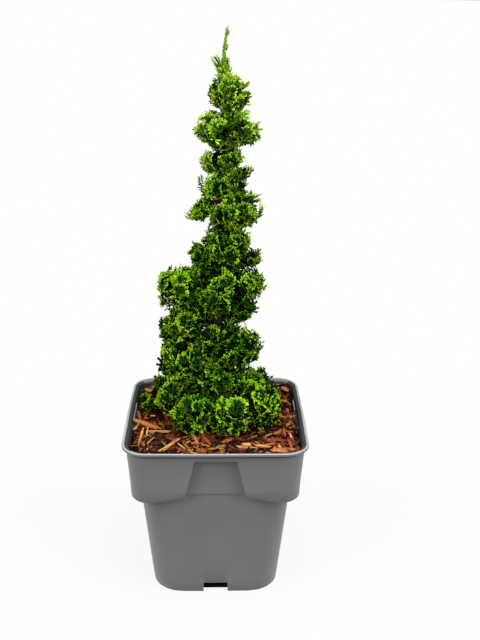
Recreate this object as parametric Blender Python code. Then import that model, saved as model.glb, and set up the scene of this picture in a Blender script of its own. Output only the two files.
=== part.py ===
"""A young hinoki cypress clipped as a spiral topiary, growing in a square plastic nursery pot.

Metres, +Z up. The origin is the centre of the pot's footprint on the ground, and the front is -Y.
The pot is a thin moulded shell: a tapered body, a wider collar with a recessed panel on each side,
and a thin lip. It is filled with soil under a layer of bark mulch. The trunk stands on the mulch
and runs up to the leader. Plumes of foliage wind round it, each on its own stem or bough.
"""

import math
import random

import bmesh
import bpy
from mathutils import Matrix, Vector, noise

MM = 0.001
SEED = 11
CLEAR = 0.3 * MM  # gap left between two pieces that touch
STEP = 0.5 * MM  # in which distances inside the foliage are felt out

# Pot: heights above the ground, and half widths from the axis to the middle of a side.
POT_HEIGHT = 106.6 * MM
WALL = 1.3 * MM
SIDE_BOW = 0.4 * MM  # how far the middle of each side swells
FOOT_HALF, FOOT_CORNER = 39.6 * MM, 18.5 * MM
BODY_TOP_HALF, BODY_TOP_CORNER = 46.5 * MM, 16.0 * MM
COLLAR_LOW_HALF, COLLAR_LOW_CORNER = 51.2 * MM, 12.5 * MM
COLLAR_TOP_HALF, COLLAR_TOP_CORNER = 53.4 * MM, 12.8 * MM
LIP_HALF, LIP_CORNER = 55.7 * MM, 14.4 * MM
LIP_WIDTH = 1.6 * MM  # across its top
COLLAR_TOP = 104.4 * MM
COLLAR_LOW_MIDDLE = 75.0 * MM  # the collar's lower edge beside the panel
COLLAR_LOW_AT_CORNER = 71.0 * MM
SKIRT = 2.2 * MM  # width of the ring that the pot stands on
FLOOR_UNDERSIDE = 7.0 * MM
NOTCH_WIDTH, NOTCH_HEIGHT = 15.0 * MM, 6.6 * MM
DRAIN_RADIUS, DRAIN_OUT = 4.5 * MM, 21.0 * MM
PANEL_TOP, PANEL_TOP_HALF_WIDTH = 100.0 * MM, 12.4 * MM
PANEL_LOW, PANEL_LOW_HALF_WIDTH = 75.0 * MM, 18.1 * MM
PANEL_TOP_FACE, PANEL_LOW_FACE = 48.6 * MM, 47.6 * MM  # axis to the panel's face
BELOW_COLLAR = 2.5 * MM  # how far the panels' cutters run on below the collar
BEYOND_POT = 70.0 * MM  # from the axis to the cutters' outer ends

# Fill.
SOIL_GAP = 0.6 * MM  # to the pot's inside, where the faces of the two shoulders fold differently
SOIL_TOP = 92.0 * MM
MULCH_TOP = 100.0 * MM
MULCH_RELIEF = 1.3 * MM
TRUNK_PATCH = 0.16  # share of the mulch's width that stays flat under the trunk
CHIPS = 14
CHIP_LENGTHS = (9.0 * MM, 26.0 * MM)
CHIP_WIDTHS = (0.14, 0.28)  # shares of a chip's length
CHIP_THICKNESSES = (1.6 * MM, 2.6 * MM)
CHIP_LIFTS = (0.2 * MM, 0.9 * MM)  # of a chip's middle above the mulch
CHIP_TILT = 1.4 * MM  # most that one end of a chip lies above the other
CHIP_HIGHEST = 103.0 * MM
CHIP_TO_COLLAR = 8.3 * MM  # chips keep off the panels, which stand in from the collar
CHIP_TO_TRUNK = 9.0 * MM

# Trunk: (height, sideways, back) of its bends, and radii.
TRUNK_BENDS = [
    (MULCH_TOP + CLEAR, 2.5 * MM, 1.0 * MM),
    (137 * MM, 3.5 * MM, 0.5 * MM),
    (175 * MM, 0.5 * MM, 0.0 * MM),
    (212 * MM, 5.5 * MM, 0.5 * MM),
    (250 * MM, 8.5 * MM, 0.0 * MM),
    (290 * MM, 6.8 * MM, -0.3 * MM),
    (314 * MM, 4.6 * MM, 0.0 * MM),
]
TRUNK_FOOT_RADIUS, TRUNK_TIP_RADIUS = 4.2 * MM, 1.0 * MM
ROOT_FLARE, ROOT_FLARE_HEIGHT = 1.9 * MM, 9.0 * MM
ROOT_LOBES = 0.08  # share by which the foot swells over each root
ROOTS = 3
LOBED_RINGS = 3  # from the foot up
LEADER_TOP = Vector((6.3 * MM, 0.0, 340.0 * MM))
LEADER_RADII = [1.1 * MM, 1.0 * MM, 0.5 * MM]
LEADER_BOW = 1.0 * MM  # to the left, half way up
# The leader's sprays: (share of its height, bearing in degrees, length).
LEADER_SPRAYS = [
    (0.03, 205, 9.0 * MM),
    (0.10, 20, 8.0 * MM),
    (0.14, 178, 11.0 * MM),
    (0.26, -20, 7.0 * MM),
    (0.40, 80, 5.5 * MM),
    (0.47, -100, 5.0 * MM),
    (0.60, 10, 4.5 * MM),
    (0.80, 190, 3.6 * MM),
    (0.88, 20, 3.8 * MM),
]
LEADER_SPRAY_LEAN = 0.62  # outwards for each unit upwards
LEADER_SPRAY_WIDTH = 0.7  # share of its length

# Foliage.
BLADE_THICKNESS = 0.10  # share of a spray's length
FAN_WIDTH, FAN_CUP, FAN_SPREAD = 1.1, 0.12, 185  # shares of a spray's length, and degrees
FAN_CENTRE, LOBE, HOLLOW = 0.3, 0.7, 0.5  # where a spray's lobes meet, and how far they reach
SPRAY_TWIST = 0.45  # most that a spray turns about its own line, in radians
SHORTEST_SPRAY, NARROW_SPRAY, LONGEST_SPRAY = 4.5 * MM, 12.5 * MM, 18.0 * MM
LIMB_GAP = 0.7 * MM
TRUNK_GAP = 0.5 * MM
NEAR_LIMB = 2.0  # squared distance from a plume's centre, in its half sizes, within which limbs count
LOWEST_FOLIAGE = 103.4 * MM
TIP_SLACK = 1.6  # how far past its ellipsoid a spray's side lobes may reach, squared
STEM_RADIUS, TWIG_RADIUS = 1.3 * MM, 0.75 * MM
STEM_TAPER, TWIG_TAPER = 0.6, 0.7  # their ends, as shares of their feet
BARE_STEM = 0.6  # share of a stem that bears no twigs
TWIG_SUNK = 1.5 * MM  # how far a twig runs into its spray
BOUGH_FOOT_RADIUS, BOUGH_TIP_RADIUS = 1.9 * MM, 1.1 * MM
SHORTEST_BOUGH = 5.0 * MM
CORE_SHARE = 0.66  # of a plume's reach
CORE_LUMPS = 0.3  # share by which a core's skin swells and sinks
LUMP_SIZE = 9.0 * MM
LUMPS_ROUND = 2.3  # how fast the swelling changes round a core
CORE_GAP = 1.3 * MM  # between a core and a limb
CORE_TO_NEIGHBOUR = 0.5 * MM  # from a core to the plane between two plumes
ROOT_SHARE = 0.55  # of the way out to the core's skin, where sprays are rooted
LOOSE_ROOT_SHARE = 0.3  # the same where there is no core
SHORTENING = 0.7 * MM  # by which a spray is cut back until it fits
UPWARD = 0.55  # how far sprays turn up from straight out
BACKWARD = 1.7  # 2 would turn a plume's first twig straight back to the trunk
LEAST_CORE = 6.2 * MM  # a plume thinner than this has no core
GOLDEN_ANGLE = math.radians(137.5)


class Plume:
    """One mass of foliage: an ellipsoid of space, given in millimetres.

    at is its centre and half its half sizes along its bearing, across it and up. tilt lifts its
    outer end, in degrees. rise is how far below the centre its stem leaves the trunk, as a share
    of the distance between them. twigs is how many twigs its stem bears.
    """

    def __init__(self, name, at, half, tilt=0, rise=0.5, twigs=9):
        self.name = name
        self.centre = Vector(at) * MM
        self.half = Vector(half) * MM
        self.rise = rise
        self.twigs = twigs
        axis = trunk_at(self.centre.z)
        self.outward = Vector((self.centre.x - axis.x, self.centre.y - axis.y, 0))
        self.out = self.outward.length
        self.outward.normalize()
        lift = Matrix.Rotation(math.radians(-tilt), 3, Vector((0, 0, 1)).cross(self.outward))
        along = lift @ self.outward
        across = Vector((0, 0, 1)).cross(self.outward)
        self.axes = Matrix((along, across, along.cross(across)))
        self.dense = min(half) * MM >= LEAST_CORE
        self.planes = []  # (normal, distance): the plume stays where normal . p < distance

    def depth(self, point):
        """Under 1 inside the ellipsoid."""
        local = self.axes @ (point - self.centre)
        return sum((local[i] / self.half[i]) ** 2 for i in range(3))

    def holds(self, point, slack=1.0):
        if self.depth(point) > slack:
            return False
        return all(normal.dot(point) < distance for normal, distance in self.planes)


# ---------------------------------------------------------------- small helpers


def clear_scene():
    for obj in list(bpy.data.objects):
        bpy.data.objects.remove(obj, do_unlink=True)


def material(name, colour, roughness):
    made = bpy.data.materials.new(name)
    made.use_nodes = True
    shader = made.node_tree.nodes["Principled BSDF"]
    shader.inputs["Base Color"].default_value = (*colour, 1)
    shader.inputs["Roughness"].default_value = roughness
    return made


def object_of(bm, name, finish=None, smooth_angle=None):
    """A named object that holds the bmesh, smooth below an angle in degrees if one is given."""
    bmesh.ops.recalc_face_normals(bm, faces=bm.faces)
    mesh = bpy.data.meshes.new(name)
    bm.to_mesh(mesh)
    bm.free()
    if smooth_angle is not None:
        mesh.shade_smooth()
        mesh.set_sharp_from_angle(angle=math.radians(smooth_angle))
    if finish:
        mesh.materials.append(finish)
    obj = bpy.data.objects.new(name, mesh)
    bpy.context.scene.collection.objects.link(obj)
    return obj


def apply_booleans(obj):
    """The object's mesh becomes what its modifiers give."""
    graph = bpy.context.evaluated_depsgraph_get()
    result = bpy.data.meshes.new_from_object(obj.evaluated_get(graph))
    obj.modifiers.clear()
    obj.data = result


def boolean(obj, others, operation, solver="EXACT"):
    """Joins or cuts obj with the other objects in one Boolean, applies it and removes them."""
    tools = bpy.data.collections.new(obj.name + "_tools")
    bpy.context.scene.collection.children.link(tools)
    for other in others:
        for user in list(other.users_collection):
            user.objects.unlink(other)
        tools.objects.link(other)
    modifier = obj.modifiers.new("join", "BOOLEAN")
    modifier.operand_type = "COLLECTION"
    modifier.collection = tools
    modifier.operation = operation
    modifier.solver = solver
    apply_booleans(obj)
    for other in others:
        bpy.data.objects.remove(other, do_unlink=True)
    bpy.data.collections.remove(tools)


def keep_main_body(obj):
    """Drops loose scraps and sealed hollows: only the piece of surface round the most volume stays."""
    bm = bmesh.new()
    bm.from_mesh(obj.data)
    bmesh.ops.triangulate(bm, faces=bm.faces)
    unseen, shells = set(bm.faces), []
    while unseen:
        shell, edge = [], [unseen.pop()]
        while edge:
            face = edge.pop()
            shell.append(face)
            near = {f for e in face.edges for f in e.link_faces if f in unseen}
            unseen -= near
            edge += near
        shells.append(shell)

    def volume(shell):
        return sum(a.dot(b.cross(c)) for a, b, c in ([v.co for v in f.verts] for f in shell)) / 6

    largest = max(shells, key=volume)
    loose = [f for shell in shells if shell is not largest for f in shell]
    bmesh.ops.delete(bm, geom=loose, context="FACES")
    bm.to_mesh(obj.data)
    bm.free()


# ---------------------------------------------------------------- pot and fill


def rounded_square(half, corner, bow=SIDE_BOW, arc_steps=5):
    """Points round a square with round corners and slightly swollen sides, all sections alike."""
    side_stops = (-PANEL_LOW_HALF_WIDTH, 0.0, PANEL_LOW_HALF_WIDTH)
    side = [Vector((half, u)) for u in side_stops]
    centre = half - corner
    for i in range(arc_steps + 1):
        angle = math.radians(90) * i / arc_steps
        side.append(Vector((centre + corner * math.cos(angle), centre + corner * math.sin(angle))))
    points = []
    for quarter in range(4):
        turn = Matrix.Rotation(math.radians(90) * quarter, 2)
        for p in side:
            swell = bow * max(0.0, 1 - (p.y / half) ** 2) if p.x > half - 1e-7 else 0.0
            points.append(turn @ Vector((p.x + swell, p.y)))
    return points


def collar_low_edge(point):
    """Height of the collar's lower edge, which drops from beside the panel to the corner."""
    along = min(abs(point.x), abs(point.y))
    share = (along - PANEL_LOW_HALF_WIDTH) / (COLLAR_LOW_HALF - COLLAR_LOW_CORNER - PANEL_LOW_HALF_WIDTH)
    return COLLAR_LOW_MIDDLE + (COLLAR_LOW_AT_CORNER - COLLAR_LOW_MIDDLE) * min(1.0, max(0.0, share))


def loft(rings):
    """A closed body through rings of as many points each."""
    bm = bmesh.new()
    loops = []
    for ring in rings:
        verts = [bm.verts.new(p) for p in ring]
        loops.append([bm.edges.new((verts[i - 1], verts[i])) for i in range(len(verts))])
    for lower, upper in zip(loops, loops[1:]):
        bmesh.ops.bridge_loops(bm, edges=lower + upper)
    for loop in (loops[0], loops[-1]):
        bmesh.ops.contextual_create(bm, geom=loop)
    return bm


def ring_at(height, half, corner):
    return [Vector((p.x, p.y, height)) for p in rounded_square(half, corner)]


def wall_half(height):
    """Half width of the pot's outer wall at a height on the body."""
    share = height / COLLAR_LOW_MIDDLE
    return FOOT_HALF + (BODY_TOP_HALF - FOOT_HALF) * share


def body_corner(height):
    return FOOT_CORNER + (BODY_TOP_CORNER - FOOT_CORNER) * height / COLLAR_LOW_MIDDLE


def collar_half(height):
    share = (height - COLLAR_LOW_MIDDLE) / (COLLAR_TOP - COLLAR_LOW_MIDDLE)
    return COLLAR_LOW_HALF + (COLLAR_TOP_HALF - COLLAR_LOW_HALF) * share


def collar_corner(height):
    share = (height - COLLAR_LOW_MIDDLE) / (COLLAR_TOP - COLLAR_LOW_MIDDLE)
    return COLLAR_LOW_CORNER + (COLLAR_TOP_CORNER - COLLAR_LOW_CORNER) * share


def step_rings(inset):
    """The body's top, the collar's underside and its rounded lower edge."""
    rings = []
    for half, corner, lift in (
        (BODY_TOP_HALF, BODY_TOP_CORNER, 0.5 * MM),
        (COLLAR_LOW_HALF - 0.8 * MM, COLLAR_LOW_CORNER, 0.0),
        (COLLAR_LOW_HALF, COLLAR_LOW_CORNER, 1.0 * MM),
    ):
        outline = rounded_square(half - inset, corner - inset)
        rings.append([Vector((p.x, p.y, collar_low_edge(p) + lift + inset)) for p in outline])
    return rings


def pot_form(name, inset, low, high, cap_rings=()):
    """The pot's outer shape from a height on its body to one on its collar, drawn in by inset."""
    rings = [ring_at(low, wall_half(low) - inset, body_corner(low) - inset)]
    rings += step_rings(inset)
    rings.append(ring_at(high, collar_half(high) - inset, COLLAR_TOP_CORNER - inset))
    rings += list(cap_rings)
    form = object_of(loft(rings), name)
    boolean(form, [panel_cutter(quarter, inset) for quarter in range(4)], "DIFFERENCE")
    return form


def panel_cutter(quarter, inset):
    """The wedge that a side's recessed panel takes out of the collar."""
    flare = (PANEL_LOW_HALF_WIDTH - PANEL_TOP_HALF_WIDTH) / (PANEL_TOP - PANEL_LOW)
    lean = (PANEL_TOP_FACE - PANEL_LOW_FACE) / (PANEL_TOP - PANEL_LOW)
    bm = bmesh.new()
    bmesh.ops.create_cube(bm, size=1)
    for v in bm.verts:
        height = PANEL_TOP + inset if v.co.z > 0 else PANEL_LOW - BELOW_COLLAR
        drop = PANEL_TOP - height
        half_width = PANEL_TOP_HALF_WIDTH + flare * drop + inset
        face = PANEL_TOP_FACE - lean * drop - inset
        v.co = Vector((math.copysign(half_width, v.co.x), -BEYOND_POT if v.co.y < 0 else -face, height))
    bmesh.ops.rotate(bm, verts=bm.verts, matrix=Matrix.Rotation(math.radians(90) * quarter, 3, "Z"))
    return object_of(bm, "panel_cutter")


def lip_rings():
    """The thin lip that stands out from the top of the collar."""
    return [
        ring_at(height, half, LIP_CORNER)
        for height, half in (
            (COLLAR_TOP + 0.1 * MM, LIP_HALF - 0.6 * MM),
            (COLLAR_TOP + 0.7 * MM, LIP_HALF),
            (POT_HEIGHT - 0.6 * MM, LIP_HALF),
            (POT_HEIGHT, LIP_HALF - 0.7 * MM),
        )
    ]


def mouth_rings():
    """The pot's mouth, which widens above the collar so that the lip is thin."""
    return [
        ring_at(height, LIP_HALF - LIP_WIDTH, LIP_CORNER - LIP_WIDTH)
        for height in (COLLAR_TOP + 0.9 * MM, POT_HEIGHT + 5 * MM)
    ]


def notch_cutter(quarter):
    bm = bmesh.new()
    bmesh.ops.create_cube(bm, size=1)
    bmesh.ops.scale(bm, verts=bm.verts, vec=(NOTCH_WIDTH, 14 * MM, 2 * NOTCH_HEIGHT))
    bmesh.ops.translate(bm, verts=bm.verts, vec=(0, -FOOT_HALF, 0))
    bmesh.ops.rotate(bm, verts=bm.verts, matrix=Matrix.Rotation(math.radians(90) * quarter, 3, "Z"))
    return object_of(bm, "notch_cutter")


def drain_cutter(x, y):
    bm = bmesh.new()
    bmesh.ops.create_cone(bm, cap_ends=True, segments=14, radius1=DRAIN_RADIUS,
                          radius2=DRAIN_RADIUS, depth=6 * MM)
    bmesh.ops.translate(bm, verts=bm.verts, vec=(x, y, FLOOR_UNDERSIDE + WALL / 2))
    return object_of(bm, "drain_cutter")


def pot(plastic):
    """Thin shell on a hollow foot with a notch in each side and drain holes in the floor."""
    shell = pot_form("pot", 0.0, 0.0, COLLAR_TOP, lip_rings())
    cavity = pot_form("cavity", WALL, FLOOR_UNDERSIDE + WALL, COLLAR_TOP, mouth_rings())
    foot_half = FOOT_HALF - SKIRT
    under = loft([ring_at(h, foot_half, FOOT_CORNER - SKIRT) for h in (-3 * MM, FLOOR_UNDERSIDE)])
    cutters = [cavity, object_of(under, "foot_hollow")]
    cutters += [notch_cutter(quarter) for quarter in range(4)]
    for x, y in ((0, 0), (1, 1), (1, -1), (-1, 1), (-1, -1)):
        cutters.append(drain_cutter(x * DRAIN_OUT, y * DRAIN_OUT))
    boolean(shell, cutters, "DIFFERENCE")
    shell.data.materials.append(plastic)
    shell.data.shade_smooth()
    shell.data.set_sharp_from_angle(angle=math.radians(28))
    return shell


def soil(finish):
    block = pot_form("soil", WALL + SOIL_GAP, FLOOR_UNDERSIDE + WALL + CLEAR, SOIL_TOP)
    block.data.materials.append(finish)
    return block


def mulch_ring(share):
    """One ring of the mulch's uneven top, at a share of the way out from the trunk."""
    inset = WALL + CLEAR
    half = collar_half(MULCH_TOP) - inset
    ring = []
    for p in rounded_square(half, COLLAR_TOP_CORNER - inset):
        at = Vector((p.x, p.y, 0)) * share
        lump = noise.noise(at / (6 * MM)) * MULCH_RELIEF if TRUNK_PATCH < share < 1 else 0.0
        ring.append(Vector((at.x, at.y, MULCH_TOP + lump)))
    return ring


def chip(rng, index):
    """A splinter of bark: a long flat block with skewed, narrowed ends, lying a little tilted."""
    length = rng.uniform(*CHIP_LENGTHS)
    width = length * rng.uniform(*CHIP_WIDTHS)
    thick = rng.uniform(*CHIP_THICKNESSES)
    limit = collar_half(MULCH_TOP) - CHIP_TO_COLLAR
    while True:
        x, y = rng.uniform(-limit, limit), rng.uniform(-limit, limit)
        turn = rng.uniform(0, math.tau)
        reach = Vector((math.cos(turn), math.sin(turn))) * length / 2
        far = max(abs(x) + abs(reach.x), abs(y) + abs(reach.y)) + width
        if far < limit and math.hypot(x, y) > length / 2 + CHIP_TO_TRUNK:
            break
    bm = bmesh.new()
    bmesh.ops.create_cube(bm, size=1)
    for v in bm.verts:
        narrow = rng.uniform(0.35, 1.0)
        v.co = Vector((v.co.x * length, v.co.y * width * narrow, v.co.z * thick))
    tilt = Matrix.Rotation(math.asin(rng.uniform(0, CHIP_TILT) / length), 3, "Y")
    bmesh.ops.rotate(bm, verts=bm.verts, matrix=Matrix.Rotation(turn, 3, "Z") @ tilt)
    bmesh.ops.translate(bm, verts=bm.verts, vec=(x, y, MULCH_TOP + rng.uniform(*CHIP_LIFTS)))
    for v in bm.verts:
        v.co.z = min(v.co.z, CHIP_HIGHEST)
    return object_of(bm, f"chip_{index}")


def mulch(finish):
    """A layer of bark on the soil, with splinters lying half sunk in it."""
    inset = WALL + CLEAR
    low = SOIL_TOP + CLEAR
    edge = ring_at(MULCH_TOP, collar_half(MULCH_TOP) - inset, COLLAR_TOP_CORNER - inset)
    rings = [ring_at(low, collar_half(low) - inset, collar_corner(low) - inset), edge]
    rings += [mulch_ring(share) for share in (0.84, 0.66, 0.48, 0.31, TRUNK_PATCH)]
    layer = object_of(loft(rings), "bark_mulch")
    boolean(layer, [panel_cutter(quarter, inset) for quarter in range(4)], "DIFFERENCE")
    rng = random.Random(SEED)
    boolean(layer, [chip(rng, i) for i in range(CHIPS)], "UNION")
    keep_main_body(layer)
    layer.data.materials.append(finish)
    return layer


# ---------------------------------------------------------------- trunk and boughs


def smooth_path(points, steps):
    """Points along a smooth curve through the given ones."""
    made = []
    for i in range(len(points) - 1):
        before, start = points[max(i - 1, 0)], points[i]
        end, after = points[i + 1], points[min(i + 2, len(points) - 1)]
        for k in range(steps):
            t = k / steps
            made.append(0.5 * (2 * start + (end - before) * t
                               + (2 * before - 5 * start + 4 * end - after) * t * t
                               + (3 * start - before - 3 * end + after) * t * t * t))
    return made + [points[-1]]


TRUNK_PATH = smooth_path([Vector((x, y, z)) for z, x, y in TRUNK_BENDS], 3)


def trunk_at(height):
    """The trunk's axis at a height, or the leader's above its tip."""
    for low, high in zip(TRUNK_PATH, TRUNK_PATH[1:] + [LEADER_TOP]):
        if height <= high.z:
            return low.lerp(high, max(0.0, (height - low.z) / (high.z - low.z)))
    return LEADER_TOP.copy()


def trunk_radius(height):
    foot, tip = TRUNK_PATH[0].z, TRUNK_PATH[-1].z
    share = min(1.0, max(0.0, (height - foot) / (tip - foot)))
    flare = ROOT_FLARE * max(0.0, 1 - (height - foot) / ROOT_FLARE_HEIGHT) ** 2
    return TRUNK_FOOT_RADIUS + (TRUNK_TIP_RADIUS - TRUNK_FOOT_RADIUS) * share ** 0.8 + flare


def tube(points, radii, sides, lobes=0.0, level_foot=False):
    """A tapering limb through the points, closed at both ends, with rings square to its line."""
    rings = []
    for i, (point, radius) in enumerate(zip(points, radii)):
        ahead = points[min(i + 1, len(points) - 1)] - points[max(i - 1, 0)]
        if level_foot and i == 0:
            ahead = Vector((0, 0, 1))
        frame = ahead.to_track_quat("Z", "Y").to_matrix()
        ring = []
        for k in range(sides):
            angle = math.tau * k / sides
            swell = 1 + lobes * max(0.0, 1 - i / LOBED_RINGS) * math.cos(ROOTS * angle)
            ring.append(point + frame @ Vector((math.cos(angle), math.sin(angle), 0)) * radius * swell)
        rings.append(ring)
    return loft(rings)


def trunk(bark):
    foot = TRUNK_PATH[0]
    flare = [foot + Vector((0, 0, ROOT_FLARE_HEIGHT * share)) for share in (0, 0.3, 0.65)]
    points = flare + [p for p in TRUNK_PATH if p.z > foot.z + ROOT_FLARE_HEIGHT]
    radii = [trunk_radius(p.z) for p in points]
    bm = tube(points, radii, 10, lobes=ROOT_LOBES, level_foot=True)
    return object_of(bm, "trunk", bark, smooth_angle=50)


class Limb:
    """A straight tapering stretch that foliage keeps clear of."""

    def __init__(self, start, end, start_radius, end_radius, owner="", stem=False):
        self.start, self.end = start, end
        self.start_radius, self.end_radius = start_radius, end_radius
        self.owner = owner  # the plume it carries
        self.stem = stem  # inside that plume

    def nearest(self, point):
        line = self.end - self.start
        share = (point - self.start).dot(line) / line.length_squared
        return self.start.lerp(self.end, min(1.0, max(0.0, share)))

    def gap(self, point):
        """Distance from the point to the limb's surface."""
        line = self.end - self.start
        share = min(1.0, max(0.0, (point - self.start).dot(line) / line.length_squared))
        radius = self.start_radius + (self.end_radius - self.start_radius) * share
        return (point - self.start.lerp(self.end, share)).length - radius


def trunk_limbs():
    return [Limb(a, b, trunk_radius(a.z), trunk_radius(b.z)) for a, b in zip(TRUNK_PATH, TRUNK_PATH[1:])]


def limb_start(plume, radius):
    """Where a limb of this radius that grows towards a plume's centre starts, clear of the trunk."""
    height = plume.centre.z - plume.rise * plume.out
    axis = trunk_at(height)
    towards = (plume.centre - axis).normalized()
    level = math.hypot(towards.x, towards.y)
    skin = trunk_radius(height - radius) + CLEAR + radius * abs(towards.z)
    return axis + towards * (skin / level)


def grow_bough(plume, limbs, bark):
    """A bough from the trunk to where it enters the plume, if that is far; returns the stem's start."""
    start = limb_start(plume, BOUGH_FOOT_RADIUS)
    line = plume.centre - start
    ahead = line.normalized()
    entry = 0.0
    while entry < line.length and not plume.holds(start + ahead * entry):
        entry += STEP
    if entry < SHORTEST_BOUGH:
        return limb_start(plume, STEM_RADIUS)
    tip = start + ahead * entry
    middle_radius = (BOUGH_FOOT_RADIUS + BOUGH_TIP_RADIUS) / 2
    radii = [BOUGH_FOOT_RADIUS, middle_radius, BOUGH_TIP_RADIUS]
    bough = tube([start, start.lerp(tip, 0.5), tip], radii, 7)
    object_of(bough, "bough_" + plume.name, bark, smooth_angle=50)
    limbs.append(Limb(start, tip, BOUGH_FOOT_RADIUS, BOUGH_TIP_RADIUS, plume.name))
    return tip + ahead * CLEAR


# ---------------------------------------------------------------- foliage


def plumes():
    """The spiral, from the skirt on the mulch up to the leader."""
    return [
        Plume("skirt_right", (23, -7.5, 117.5), (18, 19, 18.5), twigs=11),
        Plume("skirt_front", (9.5, -14.5, 114.5), (15.5, 19, 15.5), twigs=9),
        Plume("skirt_front_left", (-12.5, -11, 115), (17.5, 17.5, 18), rise=0.3, twigs=9),
        Plume("skirt_left", (-23.5, 4.5, 118.5), (16.5, 17.5, 18), rise=0.2, twigs=9),
        Plume("skirt_back_left", (-10, 18.5, 119), (16.5, 17, 17), twigs=6),
        Plume("skirt_back", (11.5, 19.5, 118), (16.5, 17, 16), twigs=6),
        Plume("skirt_right_back", (22.5, 12, 120), (15, 15, 13), twigs=5),
        Plume("offshoot_left", (-42, 10, 110), (8, 7, 6.5), rise=0.08, twigs=4),
        Plume("inner_front", (-1.5, -8, 137.5), (13.5, 16, 15), twigs=6),
        Plume("fan_left", (-19, -7.5, 147.5), (15, 17, 17), rise=0.7, twigs=11),
        Plume("second_right", (11, -6, 154.5), (16, 19, 13), twigs=11),
        Plume("second_back", (4, 12.5, 150), (14.5, 16, 15.5), twigs=6),
        Plume("second_left_back", (-21.5, 7.5, 160.5), (15, 16, 11), twigs=6),
        Plume("second_front", (-4, -7.5, 160), (10.5, 12, 14), twigs=5),
        Plume("third_back_low", (-4, 13.5, 174), (14, 15, 13.5), twigs=5),
        Plume("third_left_low", (-16.5, -4.5, 173), (16, 16, 13), twigs=8),
        Plume("third_right_low", (11, 0, 180.5), (14.2, 14, 12), twigs=6),
        Plume("third_left", (-18, -2, 190.5), (18.5, 19, 15), tilt=-28, twigs=11),
        Plume("third_front", (-0.5, -9.5, 193), (12.5, 16, 18), twigs=9),
        Plume("third_right", (13.5, -1.5, 192.5), (15, 18, 12.5), twigs=11),
        Plume("third_back", (1, 13, 194), (14, 17, 17), twigs=5),
        Plume("lobe_right", (19, -2, 210), (11, 8, 5.5), tilt=8, rise=0.4, twigs=5),
        Plume("fourth_front", (6.5, -6, 220), (10.5, 15, 16.5), twigs=9),
        Plume("fourth_left", (-4, -1, 212), (11, 14, 12), twigs=7),
        Plume("fourth_back", (6.5, 9, 219), (10.5, 14, 15.5), twigs=5),
        Plume("arm_left", (-8.5, -1, 239.5), (16, 8, 5.5), tilt=-28, rise=-0.4, twigs=7),
        Plume("lump_right", (15, -1, 239.5), (15.5, 13, 11), tilt=45, twigs=9),
        Plume("fifth_front", (5, -5.5, 238), (10, 13, 15), twigs=7),
        Plume("fifth_left", (1, -1.5, 253.5), (12.5, 12, 10), twigs=6),
        Plume("fifth_back", (7, 7, 248), (9.5, 12, 13.5), twigs=4),
        Plume("twig_right", (16, -1, 261), (9, 5, 4), tilt=34, twigs=5),
        Plume("sixth_left", (1, -1, 268), (11.5, 12, 9), twigs=6),
        Plume("sixth_front", (5.5, -4, 269), (6.5, 11, 13.5), twigs=5),
        Plume("sixth_back", (5.5, 6, 270), (7, 10, 12), twigs=4),
        Plume("seventh_left", (1, -1, 286), (13.5, 13, 9.5), tilt=4, twigs=8),
        Plume("seventh_right", (13.3, 0, 286), (13.7, 13, 9.5), tilt=5, twigs=8),
        Plume("crown_right", (10.2, -0.5, 305.5), (9, 10.5, 11.5), tilt=20, twigs=7),
        Plume("crown_left", (2.9, -0.5, 305.5), (6.8, 9.5, 12.5), twigs=6),
    ]


def part_spaces(all_plumes):
    """Parts the plumes from each other by planes, nearer the smaller one, and from the trunk."""
    for first in all_plumes:
        for second in all_plumes:
            if first is second:
                continue
            line = second.centre - first.centre
            distance = line.length
            normal = line / distance
            share = first.half.length / (first.half.length + second.half.length)
            at = first.centre + normal * (distance * share - CLEAR)
            first.planes.append((normal, normal.dot(at)))
        inward = -first.outward
        low, high = first.centre.z - first.half.z, first.centre.z + first.half.z
        skins = [inward.dot(p) - trunk_radius(p.z) for p in TRUNK_PATH if low < p.z < high]
        skins.append(inward.dot(trunk_at(first.centre.z)) - trunk_radius(first.centre.z))
        first.planes.append((inward, min(skins) - TRUNK_GAP))
        first.planes.append((Vector((0, 0, -1)), -LOWEST_FOLIAGE))


def keep_off(plume, limbs):
    """Planes that keep the plume on its own side of each bough and stem that passes it."""
    for limb in limbs:
        if limb.owner in ("", plume.name):
            continue
        nearest = limb.nearest(plume.centre)
        if plume.depth(nearest) < NEAR_LIMB:
            normal = (nearest - plume.centre).normalized()
            plume.planes.append((normal, normal.dot(nearest) - limb.start_radius - LIMB_GAP))


def reach_of(plume, start, direction):
    """How far one can go from start before leaving the plume's space."""
    reach = 0.0
    while plume.holds(start + direction * (reach + STEP)):
        reach += STEP
    return reach


def clear_of(points, limbs, gap, owner):
    """Whether the points keep this gap to every limb but the owner's stem."""
    others = [limb for limb in limbs if not (limb.stem and limb.owner == owner)]
    return all(limb.gap(p) > gap for limb in others for p in points)


def core_reach(plume, direction, limbs):
    """How far the plume's core goes from its centre in a direction.

    It stops short of the free air by more than of its neighbours, and its skin swells and sinks.
    """
    local = plume.axes @ direction
    free = CORE_SHARE / math.sqrt(sum((local[i] / plume.half[i]) ** 2 for i in range(3)))
    free *= 1 + CORE_LUMPS * noise.noise(direction * LUMPS_ROUND + plume.centre / LUMP_SIZE)
    reach = min(free, reach_of(plume, plume.centre, direction) - CORE_TO_NEIGHBOUR)
    skin = plume.centre + direction * reach
    while reach > 2 * STEP and not clear_of([skin], limbs, CORE_GAP, plume.name):
        reach -= STEP
        skin = plume.centre + direction * reach
    return max(reach, STEP)


def core(plume, limbs):
    """The dense, shaded heart of a plume: a knobbly lump inside its space, clear of the limbs."""
    bm = bmesh.new()
    bmesh.ops.create_icosphere(bm, subdivisions=2, radius=1)
    for v in bm.verts:
        direction = v.co.normalized()
        v.co = plume.centre + direction * core_reach(plume, direction, limbs)
    return object_of(bm, "core")


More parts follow.
